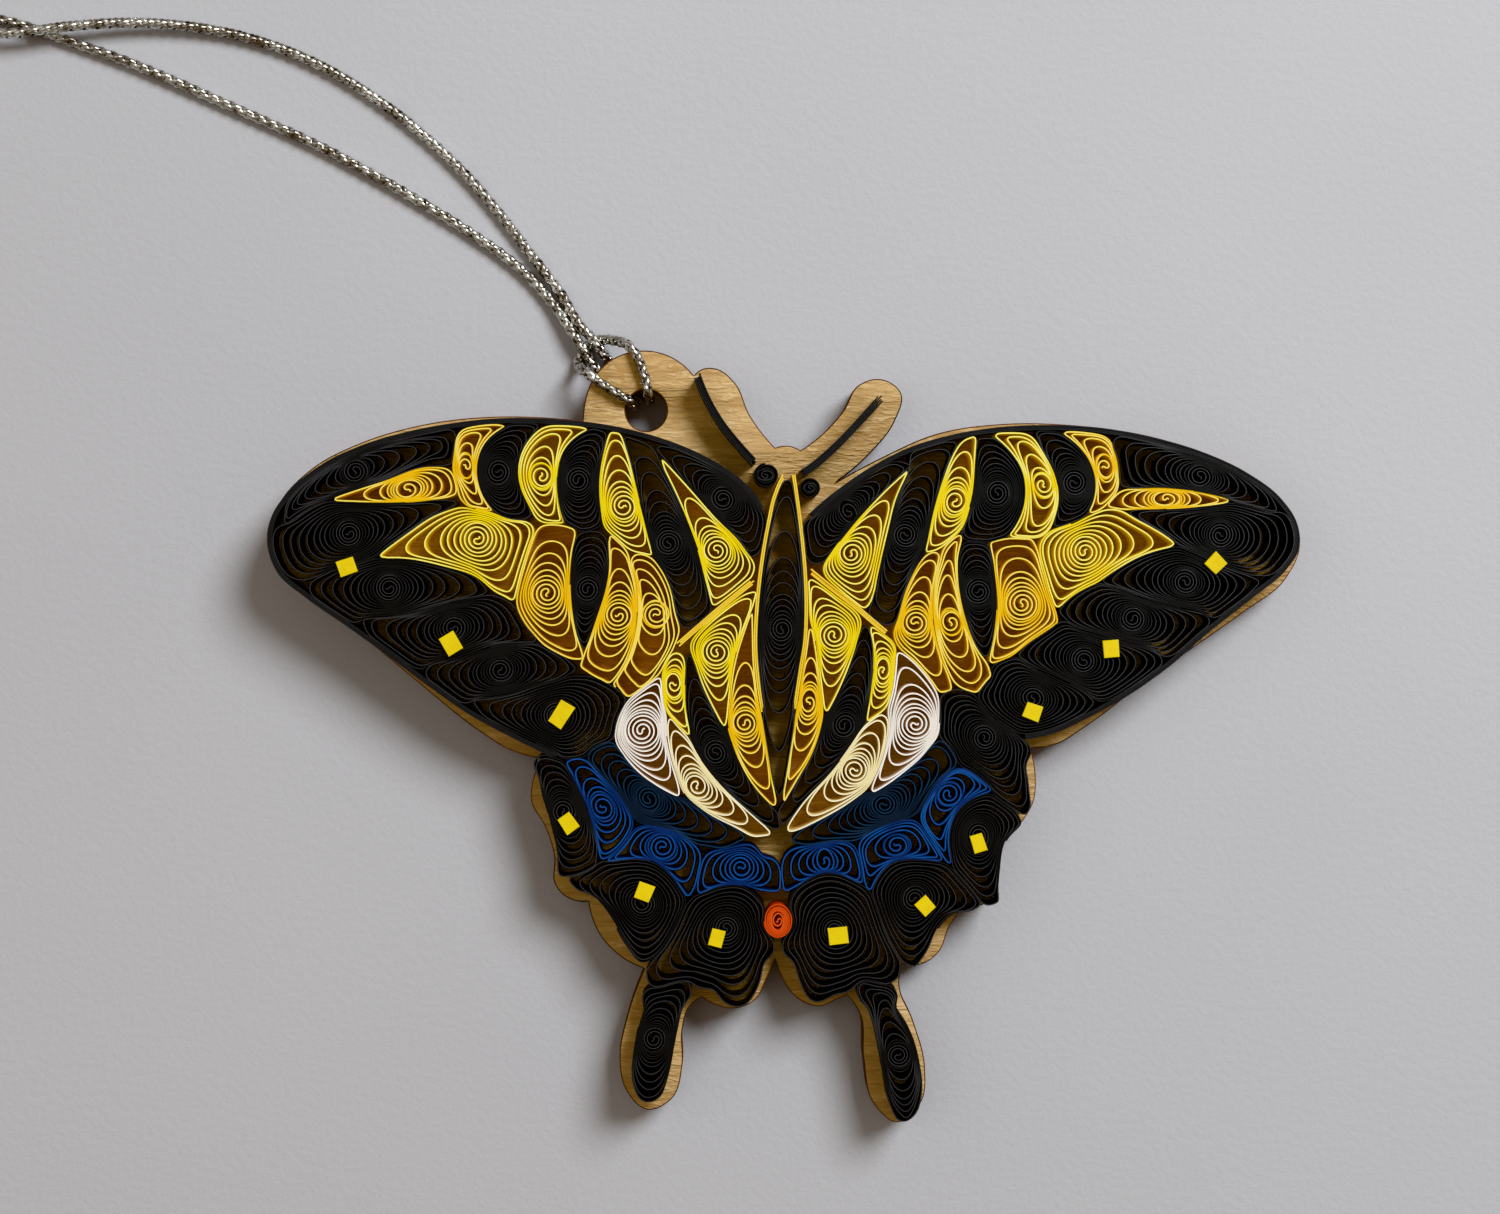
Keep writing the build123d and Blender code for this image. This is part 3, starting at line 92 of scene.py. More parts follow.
# Each node's coils: every coil is its eye and then its outline, in hundredths of the wing span.
# A point marked PINCH is a corner squeezed sharp between the fingers.
COIL_SHARES = {
    "left_upper_leaf": [((-36.0, 23.9), [(-43.2, 22.9, PINCH), (-38.5, 24.5), (-33.4, 25.9), (-31.9, 25.3),
        (-31.6, 23.6, PINCH), (-35.5, 22.85), (-39.5, 22.75)])],
    "left_slim_crescent": [((-30.5, 26.1), [(-26.8, 29.85, PINCH), (-29.4, 29.8), (-31.0, 28.9),
        (-31.5, 26.6), (-31.3, 24.6), (-30.1, 22.4, PINCH), (-28.0, 21.9, PINCH), (-29.2, 23.9),
        (-29.5, 26.2), (-28.7, 28.4)])],
    "left_broad_crescent": [((-23.3, 25.2), [(-19.0, 29.6, PINCH), (-21.6, 29.85), (-24.1, 28.8),
        (-25.4, 26.3), (-25.1, 23.8), (-23.5, 21.6), (-21.2, 20.8, PINCH), (-21.8, 23.2), (-21.85, 25.6),
        (-21.3, 27.6)])],
    "left_upright_leaf": [((-15.5, 22.3), [(-16.6, 29.15, PINCH), (-17.3, 27.2), (-17.7, 24.3), (-17.4, 21.6),
        (-16.4, 19.9), (-14.6, 18.6), (-12.8, 17.7, PINCH), (-13.7, 21.4), (-14.5, 24.9), (-15.3, 27.8),
        (-15.9, 29.1, PINCH)])],
    "left_shoulder_teardrop": [((-6.6, 18.1), [(-12.0, 27.0, PINCH), (-9.5, 24.2), (-6.6, 20.9), (-4.3, 18.6),
        (-3.4, 16.8), (-3.5, 15.6, PINCH), (-5.3, 14.2), (-6.9, 13.0, PINCH), (-7.5, 15.0), (-8.5, 18.8),
        (-10.0, 22.9)])],
    "left_great_fan": [((-29.4, 19.2), [(-38.6, 17.5, PINCH), (-35.8, 19.7), (-32.9, 21.6), (-30.0, 21.95),
        (-26.9, 21.1), (-24.6, 20.1), (-24.7, 18.4), (-25.4, 16.0), (-26.1, 13.5, PINCH), (-28.4, 15.5),
        (-32.0, 16.7), (-35.6, 17.5)])],
    "left_tall_shield": [((-22.8, 14.0), [(-19.5, 7.9, PINCH), (-20.2, 10.6), (-20.6, 14.0), (-20.5, 17.6),
        (-20.1, 20.2, PINCH), (-22.3, 20.3), (-24.0, 18.7), (-24.9, 16.2), (-25.3, 13.6), (-24.6, 11.3),
        (-22.4, 9.0)])],
    "left_inner_blade": [((-16.0, 11.9), [(-16.8, 19.4, PINCH), (-16.7, 17.6), (-17.0, 14.9), (-18.1, 11.4),
        (-19.1, 8.2), (-19.4, 7.1, PINCH), (-17.6, 6.2), (-16.9, 5.6, PINCH), (-15.7, 7.2), (-14.7, 9.8),
        (-14.3, 12.6), (-14.6, 15.4), (-15.6, 17.8)])],
    "left_inner_petal": [((-12.4, 12.0), [(-16.3, 5.3, PINCH), (-15.3, 6.8), (-14.3, 9.6), (-13.95, 12.5),
        (-14.2, 15.6), (-14.5, 17.4), (-13.4, 17.5), (-12.0, 16.2), (-11.1, 14.4), (-10.7, 11.8),
        (-11.1, 9.0), (-12.3, 6.4), (-15.0, 4.3, PINCH)])],
    "left_forewing_fillers": [((-41.0, 25.6), [(-47.6, 20.6, PINCH), (-46.3, 22.9), (-43.2, 25.7),
        (-38.6, 27.6), (-34.0, 28.9), (-32.1, 28.8), (-32.0, 27.4), (-32.0, 26.5, PINCH), (-33.8, 26.3),
        (-37.5, 25.2), (-41.5, 24.0), (-44.9, 22.9)]),
        ((-27.4, 25.6), [(-23.7, 29.9, PINCH), (-24.9, 28.8), (-25.7, 26.7), (-25.7, 24.6), (-25.1, 22.8),
        (-24.4, 21.5, PINCH), (-26.0, 21.3), (-27.5, 21.9, PINCH), (-28.8, 23.6), (-29.2, 25.9),
        (-28.4, 28.4), (-26.6, 29.7)]),
        ((-19.8, 24.8), [(-17.3, 29.1, PINCH), (-17.8, 27.2), (-18.1, 24.9), (-18.0, 22.5),
        (-17.9, 20.5, PINCH), (-19.5, 20.4), (-20.9, 20.7, PINCH), (-21.4, 22.8), (-21.5, 25.5),
        (-20.9, 27.5), (-19.2, 29.0)]),
        ((-11.2, 18.8), [(-15.3, 28.8, PINCH), (-13.3, 26.9), (-12.0, 25.0), (-10.7, 22.6), (-9.4, 19.7),
        (-8.4, 16.9), (-7.8, 14.1), (-7.3, 12.4, PINCH), (-8.8, 11.6), (-10.1, 12.2), (-10.6, 14.4),
        (-11.6, 16.8), (-12.7, 18.6), (-13.3, 21.0), (-14.1, 24.4), (-14.8, 27.2)]),
        ((-6.0, 23.0), [(-12.2, 27.9, PINCH), (-9.0, 26.6), (-5.9, 24.8), (-3.6, 22.4), (-2.6, 20.1),
        (-2.8, 18.2), (-3.3, 17.6, PINCH), (-4.2, 19.1), (-6.5, 21.6), (-9.3, 24.8)]),
        ((-18.9, 14.4), [(-18.8, 19.1), (-17.5, 18.3), (-17.1, 16.3), (-17.5, 13.8), (-18.3, 11.2),
        (-19.2, 8.9, PINCH), (-19.8, 11.0), (-20.2, 14.0), (-20.2, 17.0), (-19.8, 18.6)])],
    "left_forewing_margin": [((-41.6, 19.7), [(-31.5, 22.6, PINCH), (-35.0, 22.2), (-39.0, 22.3),
        (-43.5, 22.2), (-46.6, 20.6), (-48.1, 18.6), (-47.8, 16.9), (-45.9, 15.4, PINCH), (-43.6, 16.4),
        (-40.5, 17.4), (-37.4, 19.3), (-34.4, 21.2)]),
        ((-37.8, 14.5), [(-28.6, 14.2, PINCH), (-31.8, 13.5), (-35.5, 12.3), (-39.5, 12.0), (-42.8, 12.7),
        (-44.4, 14.1), (-43.6, 15.6), (-40.6, 16.4), (-37.6, 16.8), (-33.6, 16.1), (-30.4, 15.2)]),
        ((-31.7, 10.7), [(-40.2, 11.5, PINCH), (-36.6, 11.7), (-33.0, 12.7), (-29.5, 13.1), (-26.6, 12.1),
        (-25.4, 10.5), (-23.8, 9.5, PINCH), (-27.0, 9.7), (-30.5, 8.4), (-34.0, 7.7), (-36.7, 8.5),
        (-38.7, 9.8)]),
        ((-27.2, 6.7), [(-20.2, 6.8, PINCH), (-23.2, 5.8), (-26.2, 4.6), (-29.0, 4.2), (-31.4, 4.9),
        (-33.3, 6.2), (-33.5, 7.0), (-31.6, 7.4), (-28.6, 8.5), (-25.2, 8.7), (-22.4, 7.8)]),
        ((-21.9, 2.3), [(-29.8, 3.75, PINCH), (-26.6, 4.0), (-23.4, 4.9), (-20.0, 5.1), (-17.4, 4.8),
        (-15.9, 3.9), (-16.6, 2.1), (-16.9, 0.5), (-18.4, -0.7), (-20.6, -1.05), (-23.6, -0.1),
        (-26.8, 1.8)])],
    "right_upper_leaf": [((36.4, 23.05), [(30.9, 22.45, PINCH), (32.0, 23.4), (34.4, 24.0), (38.4, 23.8),
        (42.4, 22.9, PINCH), (38.6, 22.3), (34.6, 22.15)])],
    "right_slim_crescent": [((30.5, 26.1), [(26.6, 29.3, PINCH), (28.4, 29.25), (30.2, 28.6), (31.5, 26.9),
        (31.7, 25.0), (31.0, 23.1), (29.1, 21.8, PINCH), (29.6, 23.3), (29.7, 25.2), (29.1, 26.9),
        (27.9, 28.3)])],
    "right_broad_crescent": [((24.6, 24.4), [(20.1, 29.1, PINCH), (22.6, 28.8), (24.6, 27.0), (25.8, 24.6),
        (25.9, 22.2), (24.6, 20.2), (21.5, 19.6, PINCH), (22.5, 21.2), (23.0, 23.6), (22.6, 26.0),
        (21.4, 27.8)])],
    "right_upright_leaf": [((16.2, 22.8), [(18.0, 28.8, PINCH), (16.5, 27.8), (15.2, 25.0), (14.2, 21.9),
        (13.7, 19.6), (13.4, 18.0, PINCH), (15.0, 18.9), (16.7, 20.4), (17.6, 22.8), (17.95, 26.0)])],
    "right_shoulder_teardrop": [((6.3, 17.8), [(11.9, 25.9, PINCH), (9.0, 23.2), (6.3, 20.2), (4.5, 17.6),
        (4.2, 16.1), (5.0, 14.7), (7.5, 12.7, PINCH), (8.2, 13.5), (8.7, 15.8), (9.6, 19.9), (10.6, 23.6)])],
    "right_great_fan": [((28.6, 18.0), [(37.0, 18.7, PINCH), (34.0, 20.7), (31.3, 21.85), (28.6, 21.1),
        (25.9, 19.8), (24.7, 17.9), (25.1, 15.6), (26.0, 12.8, PINCH), (27.8, 14.2), (30.6, 15.7),
        (33.8, 17.6)])],
    "right_tall_shield": [((22.6, 13.0), [(19.7, 18.8, PINCH), (21.4, 19.1), (23.4, 19.0, PINCH),
        (24.2, 16.6), (25.0, 13.8), (25.8, 11.3, PINCH), (23.4, 9.6), (19.7, 7.5, PINCH), (20.0, 9.8),
        (20.3, 13.4), (20.0, 16.6)])],
    "right_inner_blade": [((15.8, 11.2), [(16.6, 19.4, PINCH), (15.5, 18.4), (14.6, 16.0), (14.3, 12.6),
        (14.7, 9.6), (15.7, 6.9), (18.2, 4.7, PINCH), (19.6, 6.1, PINCH), (18.6, 7.7), (17.3, 10.8),
        (16.5, 14.0), (16.3, 17.0)])],
    "right_inner_petal": [((12.4, 11.2), [(14.6, 17.8), (14.2, 16.2), (13.8, 13.4), (14.0, 10.4), (14.8, 7.3),
        (15.7, 4.9, PINCH), (14.8, 4.7, PINCH), (14.0, 5.9), (12.9, 7.3), (11.5, 8.9), (11.0, 11.0),
        (11.2, 13.2), (12.1, 15.6), (13.3, 17.4)])],
    "right_forewing_fillers": [((39.6, 25.2), [(32.3, 28.5), (35.6, 27.8), (39.6, 26.6), (43.4, 24.9),
        (46.0, 22.9), (46.9, 21.9, PINCH), (44.6, 22.8), (42.5, 23.5), (38.6, 24.2), (34.6, 24.4),
        (32.2, 24.4, PINCH), (32.1, 26.5)]),
        ((27.6, 24.6), [(24.1, 29.3, PINCH), (26.0, 29.2, PINCH), (27.4, 28.2), (28.6, 26.4), (29.2, 24.6),
        (29.1, 22.9), (28.6, 21.7, PINCH), (27.2, 20.9), (25.8, 20.6, PINCH), (26.3, 22.4), (26.3, 24.6),
        (25.6, 26.9), (24.9, 28.2)]),
        ((20.2, 23.6), [(18.5, 28.6, PINCH), (19.8, 28.6, PINCH), (21.1, 27.4), (22.2, 25.8), (22.6, 23.6),
        (22.0, 21.3), (20.9, 19.9), (19.0, 19.4), (17.5, 19.6), (17.7, 20.9), (18.05, 22.9), (18.3, 26.0)]),
        ((11.4, 19.6), [(16.2, 28.2, PINCH), (14.9, 25.7), (13.9, 21.9), (13.2, 18.4), (11.7, 15.4),
        (10.8, 13.0), (10.3, 11.4, PINCH), (8.9, 11.7), (8.6, 13.2), (9.3, 16.6), (10.2, 20.0), (11.1, 23.4),
        (12.3, 26.2), (14.1, 27.9)]),
        ((6.0, 21.8), [(11.8, 26.2, PINCH), (9.2, 25.7), (6.4, 23.9), (3.8, 21.8), (2.4, 19.8), (2.2, 18.2),
        (2.8, 17.8), (4.3, 18.8), (6.6, 21.2), (9.1, 23.9)]),
        ((18.4, 14.2), [(18.0, 18.6), (19.2, 17.8), (19.6, 15.6), (19.8, 12.6), (19.45, 9.8),
        (19.1, 8.1, PINCH), (18.1, 10.1), (17.2, 12.9), (16.8, 15.8), (17.0, 17.9)])],
    "right_forewing_margin": [((41.6, 19.6), [(32.9, 21.7, PINCH), (37.5, 21.8), (42.0, 22.0), (45.4, 21.7),
        (47.8, 20.1), (48.2, 18.0), (47.1, 16.5), (45.9, 15.9, PINCH), (43.2, 16.6), (40.0, 18.0),
        (36.8, 20.0)]),
        ((38.2, 15.1), [(30.4, 15.2, PINCH), (32.9, 16.8), (36.0, 17.7), (39.2, 17.4), (42.4, 15.9),
        (45.2, 15.1, PINCH), (43.8, 14.1), (41.4, 12.5), (38.4, 12.7), (35.2, 13.5), (32.4, 14.7)]),
        ((33.2, 11.6), [(26.4, 12.3, PINCH), (28.5, 13.9), (31.0, 14.3), (34.4, 13.2), (38.0, 12.2),
        (40.1, 11.5), (38.6, 10.1), (36.2, 8.9), (33.4, 9.3), (30.4, 10.5), (27.8, 11.3)]),
        ((28.5, 7.6), [(22.4, 8.1, PINCH), (24.4, 9.5), (26.8, 10.5), (29.6, 9.9), (32.6, 8.8), (35.0, 8.2),
        (35.2, 7.3), (33.2, 5.9), (30.6, 4.7), (28.0, 5.4), (25.0, 6.8)]),
        ((23.6, 4.0), [(18.6, 4.1, PINCH), (20.1, 6.1), (21.9, 7.0), (24.6, 6.1), (27.4, 4.8),
        (29.3, 3.6, PINCH), (27.4, 2.3), (24.4, 1.3), (21.6, 1.5), (19.8, 2.7)])],
    "left_inner_teardrop": [((-6.6, 8.4), [(-2.95, 14.0, PINCH), (-5.2, 12.9), (-7.9, 10.6), (-8.6, 8.7),
        (-8.1, 5.8), (-6.9, 3.1), (-5.9, 1.3, PINCH), (-5.5, 4.2), (-5.1, 7.4), (-4.1, 10.8)])],
    "left_slender_blade": [((-3.9, 1.6), [(-3.25, 12.0, PINCH), (-3.9, 10.2), (-4.8, 7.2), (-5.2, 4.2),
        (-5.2, 0.8), (-4.2, -2.4), (-2.5, -5.0), (-1.1, -6.2, PINCH), (-1.6, -3.2), (-2.3, 0.8), (-2.9, 4.4),
        (-3.25, 8.8)])],
    "left_small_leaf": [((-10.7, 5.3), [(-10.6, 8.0), (-9.9, 7.4), (-9.7, 5.6), (-9.7, 3.2),
        (-9.2, 0.5, PINCH), (-10.4, 1.7), (-11.35, 3.0), (-11.6, 5.3), (-11.4, 7.0)])],
    "left_dark_leaf": [((-6.7, -1.2), [(-9.2, 8.0, PINCH), (-9.35, 5.0), (-8.9, 1.8), (-8.0, -1.2),
        (-6.1, -4.2), (-3.3, -6.7), (-0.7, -8.4, PINCH), (-1.9, -6.4), (-3.9, -3.4), (-5.6, -0.3),
        (-7.3, 3.2), (-8.6, 6.2)])],
    "left_white_petal": [((-13.7, 0.9), [(-12.1, 5.8, PINCH), (-14.2, 4.4), (-15.7, 2.4), (-16.1, 0.2),
        (-15.0, -2.0), (-12.4, -4.2), (-10.2, -5.4, PINCH), (-11.1, -2.4), (-11.6, 0.6), (-11.8, 3.6)])],
    "left_cream_petal": [((-8.5, -4.4), [(-11.0, 2.0, PINCH), (-9.7, 0.4), (-8.2, -2.0), (-5.7, -4.9),
        (-3.0, -7.45), (-1.6, -8.9, PINCH), (-4.0, -8.3), (-7.0, -7.0), (-9.3, -4.8), (-10.6, -1.8),
        (-11.1, 0.6)])],
    "left_navy_leaf": [((-13.1, -5.6), [(-18.4, -0.8), (-17.1, -0.5), (-15.6, -1.8), (-13.4, -4.1),
        (-10.3, -6.1), (-7.2, -7.9), (-4.0, -9.3, PINCH), (-7.2, -9.2), (-10.4, -8.2), (-13.8, -6.8),
        (-16.0, -4.8), (-18.0, -2.5)])],
    "left_blue_row": [((-17.5, -6.4), [(-20.9, -2.2, PINCH), (-19.6, -2.0), (-17.7, -3.4), (-15.9, -5.4),
        (-15.1, -7.7), (-15.7, -9.7), (-17.5, -11.2, PINCH), (-18.0, -8.8), (-19.0, -5.6)]),
        ((-11.8, -10.2), [(-17.0, -11.5, PINCH), (-15.5, -10.5), (-14.5, -9.2), (-12.3, -8.5), (-10.1, -9.3),
        (-8.9, -11.2), (-8.8, -13.0), (-9.4, -14.8, PINCH), (-10.7, -12.9), (-12.8, -11.3), (-15.0, -11.15)]),
        ((-4.3, -12.2), [(-8.2, -14.6, PINCH), (-7.9, -12.9), (-7.1, -11.6), (-5.4, -10.9), (-3.2, -11.0),
        (-1.4, -12.2), (-0.7, -14.3, PINCH), (-2.6, -13.7), (-4.6, -13.3), (-6.7, -13.8)])],
    "left_hindwing_margin": [((-21.2, -6.8), [(-22.6, -2.0), (-21.4, -2.5), (-20.7, -4.4), (-19.4, -7.2),
        (-18.7, -9.8), (-18.3, -11.8, PINCH), (-19.6, -12.5), (-21.4, -12.8, PINCH), (-21.9, -10.2),
        (-22.8, -6.8), (-23.4, -4.6), (-23.3, -2.9)]),
        ((-13.7, -15.6), [(-20.6, -13.3, PINCH), (-18.0, -12.6), (-15.0, -11.9), (-12.5, -12.4),
        (-10.8, -14.1), (-10.4, -16.2), (-11.2, -18.6), (-12.5, -20.4), (-13.7, -21.0, PINCH), (-15.3, -19.6),
        (-16.6, -17.2), (-18.2, -15.0)]),
        ((-5.7, -18.0), [(-9.3, -15.9, PINCH), (-6.6, -14.7), (-3.9, -15.2), (-2.5, -17.5), (-2.1, -20.6),
        (-2.6, -23.6), (-4.3, -25.6), (-6.0, -25.1), (-7.0, -23.5), (-8.4, -22.3), (-10.6, -22.8),
        (-12.5, -23.1), (-13.1, -22.1, PINCH), (-12.0, -20.8), (-10.5, -18.6)]),
        ((-12.6, -28.6), [(-9.4, -23.2, PINCH), (-9.9, -25.6), (-10.6, -29.0), (-11.3, -32.4), (-12.2, -34.4),
        (-13.6, -34.7), (-14.6, -33.0), (-14.6, -30.0), (-13.9, -26.9), (-12.6, -24.6), (-10.8, -23.6)])],
    "right_inner_teardrop": [((4.6, 10.0), [(2.35, 15.2, PINCH), (4.4, 13.7), (6.75, 11.7), (6.7, 9.6),
        (6.0, 7.2), (4.95, 4.7), (3.9, 2.7, PINCH), (3.5, 5.4), (3.1, 9.0), (2.5, 12.6)])],
    "right_slender_blade": [((2.2, 3.6), [(2.35, 10.6, PINCH), (1.85, 7.4), (1.4, 4.6), (0.9, 1.0),
        (0.2, -3.0), (-0.3, -6.1, PINCH), (0.9, -4.0), (2.3, -1.6), (3.1, 0.8), (3.3, 3.4), (3.0, 6.4)])],
    "right_small_leaf": [((9.3, 6.6), [(8.2, 10.7, PINCH), (9.3, 9.9), (10.1, 8.6), (10.2, 6.4), (9.6, 4.0),
        (7.8, 1.8, PINCH), (8.2, 4.4), (8.5, 7.4), (8.45, 9.4)])],
    "right_dark_leaf": [((5.6, 1.4), [(7.6, 10.8, PINCH), (7.9, 5.4), (7.2, 2.2), (5.5, -0.9), (3.0, -4.0),
        (0.8, -6.5), (-0.3, -7.9, PINCH), (-0.1, -6.7), (1.2, -4.1), (3.0, -0.9), (4.3, 2.2), (5.8, 5.6),
        (7.0, 8.8)])],
    "right_white_petal": [((12.4, 1.5), [(10.8, 8.2, PINCH), (12.6, 6.7), (14.2, 4.5), (14.6, 1.8),
        (13.5, -0.8), (11.0, -3.1), (8.3, -4.9, PINCH), (9.4, -2.6), (10.0, 0.6), (10.4, 4.0)])],
    "right_cream_petal": [((6.6, -2.9), [(9.4, 2.2), (9.65, 1.5), (9.2, -0.8), (8.2, -3.1), (6.2, -5.4),
        (3.6, -7.2), (0.3, -8.6, PINCH), (1.6, -6.2), (4.2, -3.4), (6.2, -0.7), (7.9, 1.5)])],
    "right_navy_leaf": [((9.4, -6.2), [(0.7, -9.6, PINCH), (3.6, -8.2), (7.0, -6.5), (10.4, -4.5),
        (13.1, -2.2), (14.8, -0.7), (15.8, -1.6), (14.8, -3.4), (12.8, -5.6), (9.6, -7.5), (5.6, -8.8)])],
    "right_blue_row": [((15.6, -5.2), [(17.1, -2.9), (18.5, -3.6), (19.6, -4.8, PINCH), (17.6, -5.5),
        (16.1, -7.0), (15.4, -9.4), (15.7, -11.7, PINCH), (14.5, -10.0), (13.5, -7.6), (13.9, -5.1),
        (15.3, -3.4)]),
        ((10.6, -10.1), [(8.0, -14.2, PINCH), (7.5, -12.0), (7.7, -9.8), (9.5, -8.4), (11.8, -8.2),
        (13.6, -9.6), (14.8, -11.4, PINCH), (12.4, -11.2), (10.0, -11.5), (8.7, -12.8)]),
        ((3.7, -11.6), [(0.0, -14.3, PINCH), (0.2, -12.6), (1.4, -11.0), (3.6, -10.05), (5.7, -10.2),
        (6.9, -11.7), (7.15, -13.6, PINCH), (5.6, -12.8), (3.8, -12.5), (1.9, -13.1)])],
    "right_hindwing_margin": [((19.0, 0.2), [(15.4, 3.6), (17.5, 3.6), (19.5, 2.1), (21.7, 0.2), (22.8, -2.2),
        (23.3, -4.8), (22.8, -7.0, PINCH), (20.4, -5.0), (17.8, -2.7), (15.9, -0.2), (15.15, 2.2)]),
        ((18.4, -9.2), [(18.6, -6.0), (20.8, -6.5), (22.3, -7.9, PINCH), (21.0, -9.9), (20.5, -12.6),
        (20.3, -15.4, PINCH), (19.2, -15.3), (17.7, -13.6), (16.6, -11.4), (16.2, -8.9), (16.9, -7.1)]),
        ((12.3, -15.2), [(9.7, -13.1), (11.6, -12.0), (14.2, -12.5), (16.4, -13.8), (18.5, -15.7, PINCH),
        (16.2, -16.5), (14.5, -18.2), (13.4, -20.6), (12.3, -21.6, PINCH), (10.8, -20.2), (9.7, -17.8),
        (9.0, -15.0)]),
        ((4.7, -18.2), [(4.0, -13.2), (6.4, -14.1), (8.1, -15.8), (9.1, -18.4), (10.4, -21.0),
        (10.6, -22.6, PINCH), (9.6, -23.0), (7.6, -22.2), (5.6, -23.0), (4.2, -24.7), (2.8, -25.2),
        (1.3, -23.1), (0.7, -20.2), (1.0, -17.0), (2.1, -14.3)]),
        ((10.8, -30.2), [(7.1, -23.4, PINCH), (8.7, -23.7), (10.3, -25.5), (11.9, -27.8), (12.8, -30.8),
        (13.05, -34.0), (12.3, -36.1), (11.0, -36.7), (10.0, -35.2), (9.3, -31.8), (8.5, -27.8),
        (7.7, -25.2)])],
    "body_coil": [((-0.4, 10.6), [(0.15, 24.4), (-0.8, 21.8), (-1.8, 17.0), (-2.35, 11.5), (-2.1, 6.0),
        (-1.4, 0.5), (-0.55, -5.4, PINCH), (0.1, -1.0), (0.75, 5.0), (1.45, 11.0), (1.3, 17.0),
        (0.8, 21.8)])],
}

# Strips that stand on edge without being rolled: a thickness and the line that each follows
STANDING_STRIP_SHARES = {
    "left_forewing_border": (BORDER_THICKNESS, [(-2.2, 21.9), (-3.9, 24.2), (-6.6, 26.2), (-9.6, 27.7),
        (-13.2, 28.95), (-17.5, 29.9), (-22.0, 30.35), (-26.9, 30.45), (-31.5, 30.0), (-35.8, 29.2),
        (-40.2, 27.9), (-44.0, 26.1), (-47.0, 23.7), (-48.8, 21.0), (-49.1, 18.6), (-48.2, 16.1),
        (-45.6, 13.8), (-41.6, 11.0), (-37.6, 8.1), (-33.6, 5.1), (-30.0, 2.6), (-26.6, 0.75), (-23.8, -0.65),
        (-21.9, -1.55)]),
    "right_forewing_border": (BORDER_THICKNESS, [(2.3, 21.3), (3.4, 22.35), (5.6, 24.1), (8.3, 25.9),
        (11.6, 27.6), (15.6, 28.85), (20.0, 29.6), (25.0, 29.85), (30.0, 29.6), (35.0, 28.7), (39.8, 27.3),
        (44.0, 25.35), (47.2, 22.95), (48.8, 20.4), (48.9, 18.3), (47.8, 16.5), (44.6, 13.8), (40.4, 10.5),
        (36.5, 7.15), (32.6, 4.4), (28.6, 2.2), (25.2, 0.7), (22.6, 0.25)]),
    "left_body_edge": (BODY_EDGE_THICKNESS, [(-0.2, 25.3), (-1.1, 23.2), (-1.6, 21.0), (-2.05, 18.6),
        (-2.45, 15.8), (-2.75, 12.8), (-2.9, 9.6), (-2.75, 6.6), (-2.2, 2.7)]),
    "right_body_edge": (BODY_EDGE_THICKNESS, [(0.75, 25.3), (1.1, 22.9), (1.4, 20.6), (1.7, 17.8),
        (1.9, 15.0), (1.95, 12.0), (1.85, 9.6), (1.45, 7.0), (0.8, 2.7)]),
    "left_hindwing_edge": (HINDWING_EDGE_THICKNESS, [(-3.05, 15.2), (-4.8, 13.8), (-6.8, 12.15), (-8.7, 10.5),
        (-10.3, 9.1)]),
    "right_hindwing_edge": (HINDWING_EDGE_THICKNESS, [(2.3, 16.2), (4.4, 14.5), (6.6, 12.8), (8.4, 11.25),
        (9.8, 10.1)]),
    "left_antenna": (ANTENNA_THICKNESS, [(-8.5, 34.9), (-6.5, 30.7), (-4.3, 27.9), (-2.95, 26.45)]),
    "right_antenna": (ANTENNA_THICKNESS, [(9.2, 32.8), (7.5, 30.9), (4.3, 27.6), (2.6, 26.15), (1.5, 25.4)]),
}

# The flat squares on top: centre, width and height, and a turn in degrees
SQUARE_SHARES = [(-41.8, 16.5, 1.75, 1.5, 19), (-31.9, 9.2, 1.6, 1.95, 30), (-21.4, 2.5, 1.5, 2.4, -33),
    (41.1, 16.9, 1.55, 1.55, 45), (31.1, 8.7, 1.5, 1.65, 6), (23.6, 2.7, 1.6, 1.45, -20),
    (-20.75, -7.9, 1.45, 1.75, 36), (-13.5, -14.5, 1.55, 1.6, -22), (-6.6, -18.9, 1.3, 1.65, -15),
    (18.4, -9.9, 1.2, 1.7, 16), (13.3, -15.85, 1.55, 1.4, -48), (5.0, -18.7, 1.85, 1.55, 7)]

